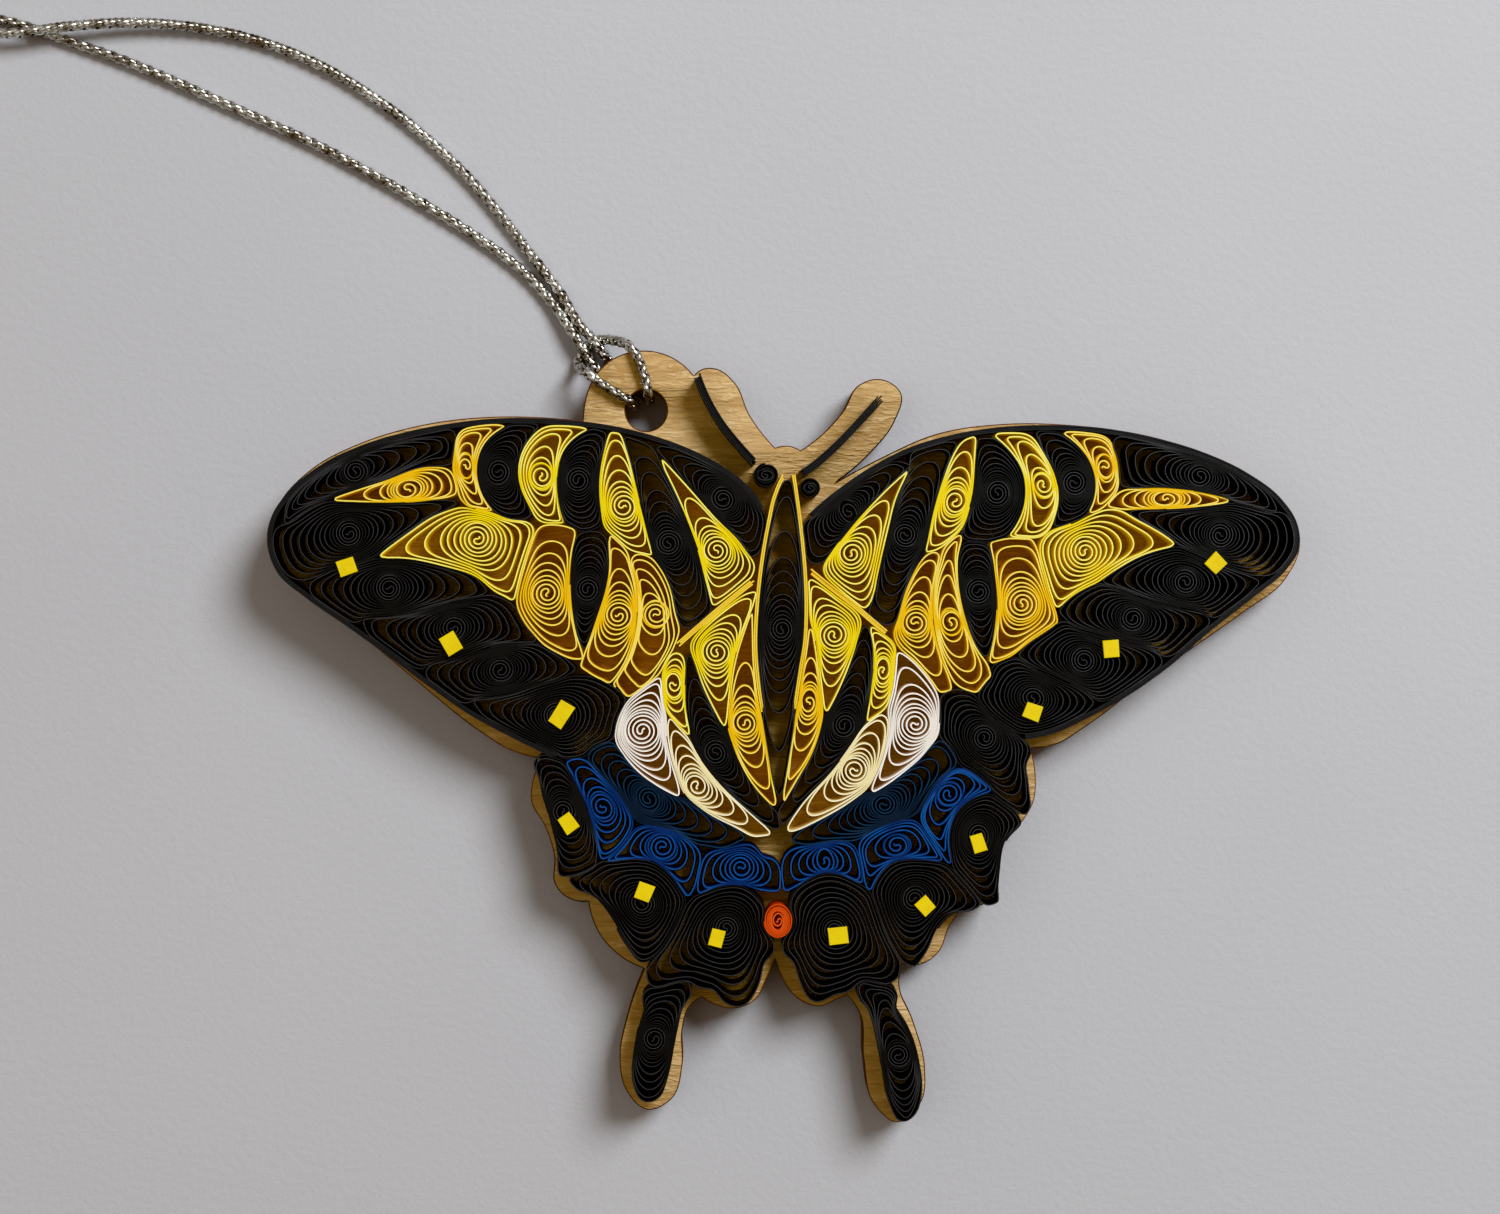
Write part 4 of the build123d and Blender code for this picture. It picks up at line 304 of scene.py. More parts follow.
# The cord's route in millimetres, from the knot along the upper strand, round the tab and back along
# the lower strand
CORD_ROUTE_MM = [(-85.0, 71.65, 1.45), (-82.3, 71.65, 1.45), (-78.6, 70.9, 1.8), (-72.4, 71.9, 1.8),
    (-64.4, 72.5, 1.2), (-55.2, 71.4, 0.62), (-46.6, 68.2, 0.56), (-38.0, 62.5, 0.56), (-30.9, 55.8, 0.56),
    (-24.9, 47.9, 0.56), (-22.3, 44.6, 0.7), (-21.0, 41.9, 1.15), (-19.05, 40.0, 1.65), (-17.75, 37.95, 0.56),
    (-13.5, 33.95, 0.56), (-13.5, 33.95, 4.8), (-13.95, 36.4, 4.8), (-15.2, 39.3, 4.8), (-17.3, 40.1, 1.9),
    (-18.9, 40.3, 0.56), (-20.25, 39.5, 0.56), (-20.85, 38.05, 0.56), (-20.6, 37.2, 2.2), (-19.85, 36.6, 4.8),
    (-17.85, 35.1, 4.8), (-15.0, 33.45, 4.8), (-15.0, 33.45, 0.56), (-19.0, 37.1, 0.56), (-20.4, 39.35, 1.65),
    (-22.1, 42.0, 1.15), (-23.6, 44.2, 0.65), (-26.4, 47.3, 0.56), (-31.0, 50.7, 0.56), (-38.9, 55.5, 0.56),
    (-47.5, 60.2, 0.56), (-56.2, 64.0, 0.56), (-65.4, 68.1, 0.56), (-72.5, 70.6, 0.56), (-79.0, 72.8, 0.75),
    (-82.3, 72.75, 1.45), (-85.0, 72.75, 1.45)]


def rgb(red: int, green: int, blue: int) -> Colour:
    """Turn a colour's usual 0 to 255 values into the linear ones that shaders use."""
    linear = [(value / 255 / 12.92) if value <= 10 else ((value / 255 + 0.055) / 1.055) ** 2.4
              for value in (red, green, blue)]
    return (*linear, 1.0)


class Socket:
    """A shader value that adds a Math node for each operation on it."""

    def __init__(self, shader: "Shader", link: bpy.types.NodeSocket) -> None:
        """Wrap an output socket of a shader's tree."""
        self.shader = shader
        self.link = link

    def _math(self, operation: str, first: object, second: object) -> "Socket":
        """Add one Math node."""
        return self.shader.node("ShaderNodeMath", {"operation": operation}, {0: first, 1: second})

    def __add__(self, other: object) -> "Socket":
        """Add."""
        return self._math("ADD", self, other)

    __radd__ = __add__

    def __mul__(self, other: object) -> "Socket":
        """Multiply."""
        return self._math("MULTIPLY", self, other)

    __rmul__ = __mul__

    def __sub__(self, other: object) -> "Socket":
        """Subtract a value from this one."""
        return self._math("SUBTRACT", self, other)

    def __rsub__(self, other: object) -> "Socket":
        """Subtract this one from a value."""
        return self._math("SUBTRACT", other, self)


class Shader:
    """One material, made of nodes that feed a single Principled shader."""

    def __init__(self, name: str, colour: Colour) -> None:
        """Start a material with an empty tree.

        Args:
            name: The material's name.
            colour: The colour that a plain viewport shows.
        """
        self.material = bpy.data.materials.new(name)
        self.material.use_nodes = True
        self.material.diffuse_color = colour
        self.tree = self.material.node_tree
        self.tree.nodes.clear()
        output = self.tree.nodes.new("ShaderNodeOutputMaterial")
        self.surface = self.tree.nodes.new("ShaderNodeBsdfPrincipled")
        self.tree.links.new(self.surface.outputs["BSDF"], output.inputs["Surface"])

    def feed(self, made: bpy.types.Node, key: str | int, value: object) -> None:
        """Link a socket to a node's input, or set the input to a value.

        Args:
            made: The node.
            key: The input's name or number.
            value: The socket or the value.
        """
        if isinstance(value, Socket):
            self.tree.links.new(value.link, made.inputs[key])
        else:
            made.inputs[key].default_value = value

    def node(self, kind: str, settings: dict[str, object] | None = None,
             values: dict[str | int, object] | None = None, output: str | int = 0) -> Socket:
        """Add a node.

        Args:
            kind: The node's type.
            settings: Attributes that are set before the sockets.
            values: Each input's value or the socket that feeds it.
            output: The name or number of the output that is wanted.

        Returns:
            The wanted output.
        """
        made = self.tree.nodes.new(kind)
        for key, value in (settings or {}).items():
            setattr(made, key, value)
        for key, value in (values or {}).items():
            self.feed(made, key, value)
        return Socket(self, made.outputs[output])

    def set(self, name: str, value: object) -> None:
        """Feed or set one of the surface's inputs."""
        self.feed(self.surface, name, value)

    def place(self) -> Socket:
        """Give the place on the object, in metres."""
        return self.node("ShaderNodeTexCoord", output="Object")

    def scaled(self, place: Socket, scale: Place) -> Socket:
        """Stretch a place by a factor along each axis."""
        return self.node("ShaderNodeVectorMath", {"operation": "MULTIPLY"}, {0: place, 1: scale})

    def noise(self, place: Socket, scale: float = 1.0, detail: float = 2.0, roughness: float = 0.5,
              distortion: float = 0.0) -> Socket:
        """Give smooth noise between 0 and 1."""
        values = {"Vector": place, "Scale": scale, "Detail": detail, "Roughness": roughness,
                  "Distortion": distortion}
        return self.node("ShaderNodeTexNoise", values=values)

    def ranged(self, value: Socket, low: float, high: float, start: float = 0.0,
               end: float = 1.0) -> Socket:
        """Map a value's range to another, kept inside it."""
        values = {"Value": value, "From Min": low, "From Max": high, "To Min": start, "To Max": end}
        return self.node("ShaderNodeMapRange", {"clamp": True}, values)

    def attribute(self, name: str) -> Socket:
        """Read a value that the mesh stores at its points."""
        return self.node("ShaderNodeAttribute", {"attribute_name": name}, output="Fac")

    def mix(self, factor: object, first: object, second: object) -> Socket:
        """Mix two colours."""
        settings = {"data_type": "RGBA", "blend_type": "MIX", "clamp_factor": True}
        return self.node("ShaderNodeMix", settings, {0: factor, 6: first, 7: second}, output=2)

    def layered(self, under: object, over: Colour, value: Socket, low: float, high: float,
                most: float = 1.0) -> Socket:
        """Lay a colour over another, from nothing where a value is low to the most where it is high."""
        return self.mix(self.ranged(value, low, high, 0.0, most), under, over)

    def bump(self, height: Socket, distance: float) -> Socket:
        """Turn a height in metres times the distance into a normal."""
        values = {"Height": height, "Distance": distance, "Strength": 1.0}
        return self.node("ShaderNodeBump", values=values, output="Normal")

    def rough(self, value: Socket, smooth: float, dull: float) -> None:
        """Vary the surface's roughness between two values."""
        self.set("Roughness", self.ranged(value, 0.3, 0.7, smooth, dull))


@dataclass(frozen=True)
class Finish:
    """A procedural material."""

    name: str
    colour: Colour

    def dress(self, shader: Shader, place: Socket) -> None:
        """Feed the surface, which each kind of finish does in its own way.

        Args:
            shader: The material's shader.
            place: The place on the object.
        """
        shader.set("Base Color", self.colour)

    def material(self) -> bpy.types.Material:
        """Give the material, which is made the first time.

        Returns:
            The material.
        """
        made = bpy.data.materials.get(self.name)
        if made is None:
            shader = Shader(self.name, self.colour)
            self.dress(shader, shader.place())
            made = shader.material
        return made


@dataclass(frozen=True)
class PaperWall(Finish):
    """The face of a coloured paper strip, seen at the sides of every turn."""

    shade_and_patch_colour: Colour
    glow: float = 0.0
    roughness: float = 0.6

    def dress(self, shader: Shader, place: Socket) -> None:
        """Darken the strip towards the board as painted shade, and add a painted glow so the gaps between
        turns look lit.

        Args:
            shader: The material's shader.
            place: The place on the object.
        """
        depth = shader.attribute("height")
        patches = shader.noise(place, scale=260.0, detail=3.0)
        fibres = shader.noise(shader.scaled(place, (1.0, 1.0, 3.0)), scale=5200.0, detail=3.0, roughness=0.6)
        # Painted shade: the wall turns to the darker colour towards the board, where the gaps between turns
        # lie in shade.
        base = shader.layered(self.shade_and_patch_colour, self.colour, depth, 0.25, 1.0)
        # The painted shade from above, with random darker patches laid over it.
        shaded_and_mottled = shader.layered(base, self.shade_and_patch_colour, patches, 0.35, 0.7, 0.35)
        shader.set("Base Color", shaded_and_mottled)
        # Painted glow: the wall gives off light in its own colour, so the gaps between turns look lit.
        shader.set("Emission Color", shaded_and_mottled)
        shader.set("Emission Strength", self.glow)
        shader.rough(fibres, self.roughness - 0.08, self.roughness + 0.1)
        shader.set("Normal", shader.bump(fibres, 0.00002))
        shader.set("Specular IOR Level", 0.35)


@dataclass(frozen=True)
class PaperEdge(Finish):
    """The cut edge of a paper strip, which shows from above as a line."""

    open_highlight_colour: Colour
    roughness: float = 0.6

    def dress(self, shader: Shader, place: Socket) -> None:
        """Lighten the edge where its turn stands alone, a painted highlight, and keep it darker where turns
        are packed, painted shade between them.

        Args:
            shader: The material's shader.
            place: The place on the object.
        """
        lone = shader.attribute("openness")
        patches = shader.noise(place, scale=420.0, detail=3.0)
        fibres = shader.noise(place, scale=9000.0, detail=2.0, roughness=0.6)
        # Painted light: packed edges keep the darker colour as painted shade, lone ones take the lighter
        # colour as a painted highlight, with random patches.
        cut = shader.layered(self.colour, self.open_highlight_colour, lone + patches * 0.35, 0.25, 0.85)
        shader.set("Base Color", shader.layered(cut, self.colour, fibres, 0.45, 0.8, 0.4))
        shader.rough(fibres, self.roughness - 0.1, self.roughness + 0.1)
        shader.set("Normal", shader.bump(fibres, 0.00003))
        shader.set("Specular IOR Level", 0.4)


@dataclass(frozen=True)
class FlatPaper(Finish):
    """A flat piece of paper, seen on its face."""

    shade: Colour

    def dress(self, shader: Shader, place: Socket) -> None:
        """Mottle the face and lay fibres across it.

        Args:
            shader: The material's shader.
            place: The place on the object.
        """
        patches = shader.noise(place, scale=700.0, detail=4.0, roughness=0.6)
        fibres = shader.noise(shader.scaled(place, (1.0, 3.0, 1.0)), scale=3800.0, detail=4.0, roughness=0.65)
        base = shader.layered(self.colour, self.shade, patches, 0.4, 0.75, 0.5)
        shader.set("Base Color", shader.layered(base, self.shade, fibres, 0.5, 0.8, 0.3))
        shader.rough(fibres, 0.5, 0.68)
        shader.set("Normal", shader.bump(fibres, 0.00004))


@dataclass(frozen=True)
class WoodFace(Finish):
    """The pale face of the board, with fine streaks along the grain and ripples across it."""

    streak: Colour
    ripple_highlight: Colour

    def dress(self, shader: Shader, place: Socket) -> None:
        """Lay bands, grain, ripples with a painted highlight, and flecks over each other.

        Args:
            shader: The material's shader.
            place: The place on the object.
        """
        grain = shader.noise(shader.scaled(place, (40.0, 1400.0, 400.0)), detail=5.0, roughness=0.6,
                             distortion=0.4)
        bands = shader.noise(shader.scaled(place, (18.0, 260.0, 100.0)), detail=3.0, distortion=0.8)
        ripples = shader.noise(shader.scaled(place, (380.0, 2000.0, 200.0)), detail=3.0, roughness=0.6,
                               distortion=1.1)
        flecks = shader.noise(shader.scaled(place, (700.0, 4200.0, 900.0)), detail=2.0, roughness=0.6)
        base = shader.layered(self.colour, self.streak, bands, 0.35, 0.7, 0.75)
        lined = shader.layered(base, self.streak, grain, 0.5, 0.72, 0.6)
        # Painted highlight: the wood turns lighter where the ripples rise, as if catching light, beside the
        # bump from the same ripples.
        rippled = shader.layered(lined, self.ripple_highlight, ripples, 0.52, 0.66, 0.55)
        flecked = shader.layered(rippled, self.streak, flecks, 0.6, 0.75, 0.35)
        shader.set("Base Color", flecked)
        shader.rough(grain, 0.5, 0.7)
        shader.set("Normal", shader.bump(ripples * 0.8 + grain * 0.2, 0.0004))
        shader.set("Specular IOR Level", 0.35)


@dataclass(frozen=True)
class ScorchedEdge(Finish):
    """The board's sides, browned where the outline was cut."""

    scorch: Colour

    def dress(self, shader: Shader, place: Socket) -> None:
        """Show the layers of the wood and the darker burns.

        Args:
            shader: The material's shader.
            place: The place on the object.
        """
        layers = shader.noise(shader.scaled(place, (60.0, 60.0, 2600.0)), detail=3.0)
        patches = shader.noise(place, scale=240.0, detail=3.0, roughness=0.6)
        base = shader.layered(self.colour, self.scorch, layers, 0.38, 0.62)
        shader.set("Base Color", shader.layered(base, self.scorch, patches, 0.45, 0.7, 0.6))
        shader.rough(patches, 0.55, 0.8)
        shader.set("Normal", shader.bump(layers, 0.00005))


@dataclass(frozen=True)
class SilverThread(Finish):
    """Flat metal-covered threads, crumpled so that they glitter."""

    warm_grey_tone: Colour
    roughness: float = 0.24

    def dress(self, shader: Shader, place: Socket) -> None:
        """Crumple the metal, dull it in patches and darken its colour to a warm grey in patches.

        Args:
            shader: The material's shader.
            place: The place on the object.
        """
        facets = shader.noise(place, scale=1500.0, detail=2.0, roughness=0.55)
        patches = shader.noise(place, scale=500.0, detail=3.0, roughness=0.6)
        # Warm grey patches at random, with more where the facets rise.
        tint = shader.layered(self.colour, self.warm_grey_tone, patches, 0.42, 0.68)
        shader.set("Base Color", shader.layered(tint, self.warm_grey_tone, facets, 0.55, 0.75, 0.7))
        shader.set("Metallic", 1.0)
        shader.rough(facets, self.roughness - 0.08, self.roughness + 0.16)
        shader.set("Normal", shader.bump(facets, 0.00004))


@dataclass(frozen=True)
class TableSheet(Finish):
    """The plain pale sheet that the butterfly lies on."""

    shade: Colour

    def dress(self, shader: Shader, place: Socket) -> None:
        """Cloud the sheet faintly and give it a fine tooth.

        Args:
            shader: The material's shader.
            place: The place on the object.
        """
        grain = shader.noise(place, scale=1400.0, detail=4.0, roughness=0.6)
        clouds = shader.noise(place, scale=14.0, detail=2.0)
        clouded = shader.layered(self.colour, self.shade, clouds, 0.3, 0.7, 0.5)
        shader.set("Base Color", clouded)
        shader.set("Roughness", 0.85)
        shader.set("Normal", shader.bump(grain, 0.00006))


class Paper(Enum):
    """The papers that the strips are cut from.

    Each is the record's slot, the strip's colour at its top and deep down, where it is painted darker as
    shade, its edge's colour where turns are packed, painted shade, and where one stands alone, a painted
    highlight, and the strength of a painted glow.
    """

    LEMON = ("yellow_paper", (240, 208, 20), (196, 156, 24), (240, 214, 0), (255, 248, 128), 0.11)
    GOLDEN = ("yellow_paper", (236, 186, 20), (190, 138, 24), (238, 190, 0), (255, 234, 112), 0.1)
    BLACK = ("black_paper", (15, 15, 16), (12, 10, 9), (22, 22, 23), (62, 62, 64), 0.0)
    WHITE = ("white_paper", (226, 214, 202), (196, 166, 140), (236, 230, 222), (255, 252, 248), 0.1)
    CREAM = ("cream_paper", (234, 218, 166), (204, 172, 112), (240, 228, 176), (255, 248, 214), 0.09)
    NAVY = ("navy_paper", (10, 22, 36), (8, 11, 16), (16, 30, 48), (34, 56, 80), 0.0)
    BLUE = ("blue_paper", (4, 38, 100), (0, 12, 44), (8, 42, 100), (34, 82, 150), 0.02)
    ORANGE = ("orange_paper", (214, 66, 10), (176, 40, 4), (206, 74, 24), (222, 94, 44), 0.03)

    @property
    def slot(self) -> str:
        """The record's material slot."""
        return self.value[0]

    def materials(self) -> list[bpy.types.Material]:
        """Give both materials of a strip.

        Returns:
            The wall's and the edge's.
        """
        _, top, deep, packed, lone, glow = self.value
        kind = self.name.lower()
        wall = PaperWall(f"{kind}_wall", rgb(*top), rgb(*deep), glow)
        edge = PaperEdge(f"{kind}_edge", rgb(*packed), rgb(*lone))
        return [wall.material(), edge.material()]


# Which paper each kind of strip is cut from; those that aren't named here are golden
STRIP_PAPERS = {
    Paper.LEMON: ("great_fan", "broad_crescent", "upright_leaf", "shoulder_teardrop", "inner_teardrop",
                  "small_leaf"),
    Paper.BLACK: ("fillers", "margin", "dark_leaf", "body_coil", "eye", "border", "antenna"),
    Paper.WHITE: ("white_petal",),
    Paper.CREAM: ("cream_petal",),
    Paper.NAVY: ("navy_leaf",),
    Paper.BLUE: ("blue_row",),
    Paper.ORANGE: ("orange_spot",),
}


def paper_of(node: str) -> Paper:
    """Give the paper of a node by what it is."""
    return next((paper for paper, kinds in STRIP_PAPERS.items() if node.endswith(kinds)), Paper.GOLDEN)


def lengths(rows: Points) -> Points:
    """Give the length of each row."""
    return np.linalg.norm(rows, axis=1)


def units(rows: Points) -> Points:
    """Give each row the length 1."""
    return rows / np.maximum(lengths(rows), TINY)[:, None]


def directions(angle: Points) -> Points:
    """Give the flat direction at each angle."""
    return np.stack([np.cos(angle), np.sin(angle)], axis=1)


def travelled(line: Points) -> Points:
    """Give the length of a line up to each of its points."""
    return np.concatenate([[0], np.cumsum(lengths(np.diff(line, axis=0)))])


def at_lengths(line: Points, long: Points, wanted: Points) -> Points:
    """Give a line's columns at the wanted ones of its lengths."""
    return np.stack([np.interp(wanted, long, column) for column in line.T], axis=1)


def resampled(line: Points, step: float, guide: int = 2) -> Points:
    """Divide a line evenly by its length.

    Args:
        line: Rows of a place and any values that go with it.
        step: The wanted step.
        guide: How many of the columns are the place.

    Returns:
        The same columns at even steps.
    """
    long = travelled(line[:, :guide])
    return at_lengths(line, long, np.linspace(0, long[-1], max(3, int(round(long[-1] / step)) + 1)))


def smoothed(line: Points, sigma: float) -> Points:
    """Smooth a line's columns with a bell curve.

    Args:
        line: The rows.
        sigma: How many rows the bell spans to each side.

    Returns:
        As many smoother rows.
    """
    reach = max(1, int(3 * sigma))
    bell = np.exp(-0.5 * (np.arange(-reach, reach + 1) / sigma) ** 2)
    bell /= bell.sum()
    padded = np.concatenate([2 * line[:1] - line[reach:0:-1], line, 2 * line[-1:] - line[-2:-reach - 2:-1]])
    return np.stack([np.convolve(column, bell, mode="valid") for column in padded.T], axis=1)


def smoothed_ring(ring: Points, sigma: float) -> Points:
    """Smooth the rows of a ring, whose last row is followed by its first."""
    return smoothed(np.tile(ring, (3, 1)), sigma)[len(ring):2 * len(ring)]


def lefts(line: Points) -> Points:
    """Give the direction to the left of a flat line at each of its points."""
    ways = units(np.gradient(line, axis=0))
    return np.stack([-ways[:, 1], ways[:, 0]], axis=1)


def closed_line(line: Points) -> Points:
    """Repeat a closed line's first point at its end."""
    return np.concatenate([line, line[:1]])


def eased(value: Points, low: float, high: float) -> Points:
    """Rise smoothly from 0 at one value to 1 at another."""
    part = np.clip((value - low) / (high - low), 0, 1)
    return part * part * (3 - 2 * part)


def anticlockwise(line: Points) -> Points:
    """Turn a closed line round if it runs clockwise."""
    return line[::-1] if np.cross(line, np.roll(line, -1, axis=0)).sum() < 0 else line


def smooth_line(places: Sequence[tuple[float, ...]], closed: bool, steps: int = 14) -> Points:
    """Run a smooth curve through places, with a corner at each end and at each pinched place.

    Args:
        places: The places, the pinched ones with a third value.
        closed: Whether the curve runs back to its start.
        steps: How many straight steps make one span.

    Returns:
        The points of the curve, without a repeated last one where it is closed.
    """
    points = np.array([place[:2] for place in places], float)
    count = len(points)
    corner = [len(place) > 2 for place in places]
    if not closed:
        corner[0] = corner[-1] = True
    chords = np.roll(points, -1, axis=0) - points
    long = lengths(chords)
    ways = units(chords)
    blends = units(np.roll(ways, 1, axis=0) * long[:, None] + ways * np.roll(long, 1)[:, None])
    part = (np.arange(steps) / steps)[:, None]
    pieces = []
    for start in range(count if closed else count - 1):
        end = (start + 1) % count
        way, leaving, arriving = ways[start], blends[start], blends[end]
        if corner[start] and corner[end]:
            leaving = arriving = way
        elif corner[start]:
            leaving = 2 * (way @ arriving) * way - arriving
        elif corner[end]:
            arriving = 2 * (way @ leaving) * way - leaving
        pieces.append((2 * part**3 - 3 * part**2 + 1) * points[start]
                      + (part**3 - 2 * part**2 + part) * long[start] * leaving
                      + (3 * part**2 - 2 * part**3) * points[end]
                      + (part**3 - part**2) * long[start] * arriving)
    if not closed:
        pieces.append(points[-1:])
    return np.concatenate(pieces)


def added(name: str, data: bpy.types.ID) -> bpy.types.Object:
    """Put an object in the scene.

    Args:
        name: Its name.
        data: Its mesh, curve, lamp or camera.

    Returns:
        The object.
    """
    made = bpy.data.objects.new(name, data)
    bpy.context.scene.collection.objects.link(made)
    return made


@dataclass(frozen=True)
class BoardPlane:
    """Where the board lies, and the size of a hundredth of the wing span."""

    origin: Points
    across: Points
    up: Points
    normal: Points
    share_mm: float
    thickness_mm: float
    strip_mm: float

    @classmethod
    def from_frame(cls, width_shares: float = 99.711,
                   middle_shares: tuple[float, float] = (-0.0591, 0.0198)) -> "BoardPlane":
        """Read the plane from the board and a coil of the frame.

        Args:
            width_shares: The board's width, in hundredths of the wing span.
            middle_shares: The middle of the board's box, in the same unit.

        Returns:
            The plane.
        """
        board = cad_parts["backing_board"].data
        faces_up = 0.9
        normal = sum(np.array(face.normal) * face.area for face in board.polygons if face.normal.z > faces_up)
        normal = normal / np.linalg.norm(normal)
        across = np.array([1.0, 0.0, -normal[0] / normal[2]])
        across = across / np.linalg.norm(across)
        up = np.cross(normal, across)
        corners = np.array([corner.co for corner in board.vertices])
        coil = np.array([corner.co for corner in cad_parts["left_great_fan"].data.vertices])
        (left, right), (low, high), (back, face) = (((corners @ way).min(), (corners @ way).max())
                                                    for way in (across, up, normal))
        share = (right - left) / width_shares
        origin = (across * ((left + right) / 2 - middle_shares[0] * share)
                  + up * ((low + high) / 2 - middle_shares[1] * share) + normal * back)
        top = (coil @ normal).max()
        return cls(origin, across, up, normal, share / MM, (face - back) / MM, (top - face) / MM)

    def points(self, flat_mm: Points, height_mm: Points) -> Points:
        """Turn places on the board into points of the scene.

        Args:
            flat_mm: The places, in millimetres.
            height_mm: Their heights above the board's back.

        Returns:
            The points, in metres.
        """
        across = flat_mm[:, :1] * self.across
        up = flat_mm[:, 1:2] * self.up
        return self.origin + (across + up + height_mm[:, None] * self.normal) * MM


class MeshParts:
    """The points, faces and face materials of one piece, gathered part by part."""

    def __init__(self) -> None:
        """Start empty."""
        self.points: list[Points] = []
        self.faces: list[tuple[int, ...]] = []
        self.slots: list[Points] = []
        self.values: dict[str, list[Points]] = {"height": [], "openness": []}
        self.count = 0

    def add(self, points: Points, faces: Points | list[tuple[int, ...]], slots: Points,
            height: Points | None = None, openness: Points | None = None) -> None:
        """Add one part.

        Args:
            points: Its points, in metres.
            faces: Its faces, as rows of point numbers.
            slots: Each face's material slot.
            height: How high each point is in its strip, from 0 to 1.
            openness: How far each point is from the next turn, from 0 to 1.
        """
        self.points.append(points)
        self.faces += [tuple(int(corner) + self.count for corner in face) for face in faces]
        self.slots.append(np.asarray(slots))
        for key, value in (("height", height), ("openness", openness)):
            self.values[key].append(np.ones(len(points)) if value is None else value)
        self.count += len(points)

    def piece(self, name: str, materials: list[bpy.types.Material], slot: str, *nodes: str,
              sharp_degrees: float = 50.0) -> bpy.types.Object:
        """Make the object, riding on the butterfly's one body.

        Args:
            name: The piece's name.
            materials: Its materials, in the order of the faces' slots.
            slot: The record's material slot, which is not used.
            nodes: The solids that it stands for.
            sharp_degrees: The angle from which an edge stays sharp.

        Returns:
            The object.
        """
        mesh = bpy.data.meshes.new(name)
        mesh.from_pydata(np.concatenate(self.points).tolist(), [], self.faces)
        mesh.polygons.foreach_set("material_index", np.concatenate(self.slots).astype(np.int32))
        for key, values in self.values.items():
            attribute = mesh.attributes.new(key, "FLOAT", "POINT")
            attribute.data.foreach_set("value", np.concatenate(values).astype(np.float32))
        for material in materials:
            mesh.materials.append(material)
        mesh.shade_smooth()
        mesh.set_sharp_from_angle(angle=math.radians(sharp_degrees))
        mesh.update()
        made = added(name, mesh)
        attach(made, "root")
        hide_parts(*nodes)
        log.info("%s: %d faces", name, len(self.faces))
        return made


@dataclass
class StripMaker:
    """Stands paper strips on edge on the board."""

    plane: BoardPlane

    def stand(self, parts: MeshParts, line: Points, top: Points, openness: Points,
              half_thickness: float) -> None:
        """Add one strip that stands along a line.

        Args:
            parts: Where it is added.
            line: The line, in millimetres on the board.
            top: How far its upper edge stands above or below the usual height, at each point.
            openness: How far the next turn is, from 0 to 1, at each point.
            half_thickness: Half the strip's thickness.
        """
        aside = lefts(line) * half_thickness
        count = len(line)
        base = np.full(count, self.plane.thickness_mm)
        upper = base + self.plane.strip_mm + top
        rings = [(line + aside, base), (line + aside, upper), (line - aside, upper), (line - aside, base)]
        points = np.stack([self.plane.points(flat, height) for flat, height in rings], axis=1)
        here = np.arange(count - 1)[:, None] * 4
        walls = [here + [0, 1, 5, 4], here + [1, 2, 6, 5], here + [2, 3, 7, 6], here + [3, 0, 4, 7]]
        last = (count - 1) * 4
        faces = np.concatenate([*walls, [[0, 3, 2, 1]], [[last, last + 1, last + 2, last + 3]]])
        slots = np.zeros(len(faces))
        slots[count - 1:2 * (count - 1)] = 1
        parts.add(points.reshape(-1, 3), faces, slots, np.tile([0.0, 1.0, 1.0, 0.0], count),
                  np.repeat(openness, 4))


@dataclass
class Winding:
    """How far a strip is wound at each point of its path, on its way from the outline to the core."""

    line: Points
    angle: Points
    wound: Points
    sunk: Points
    core: float


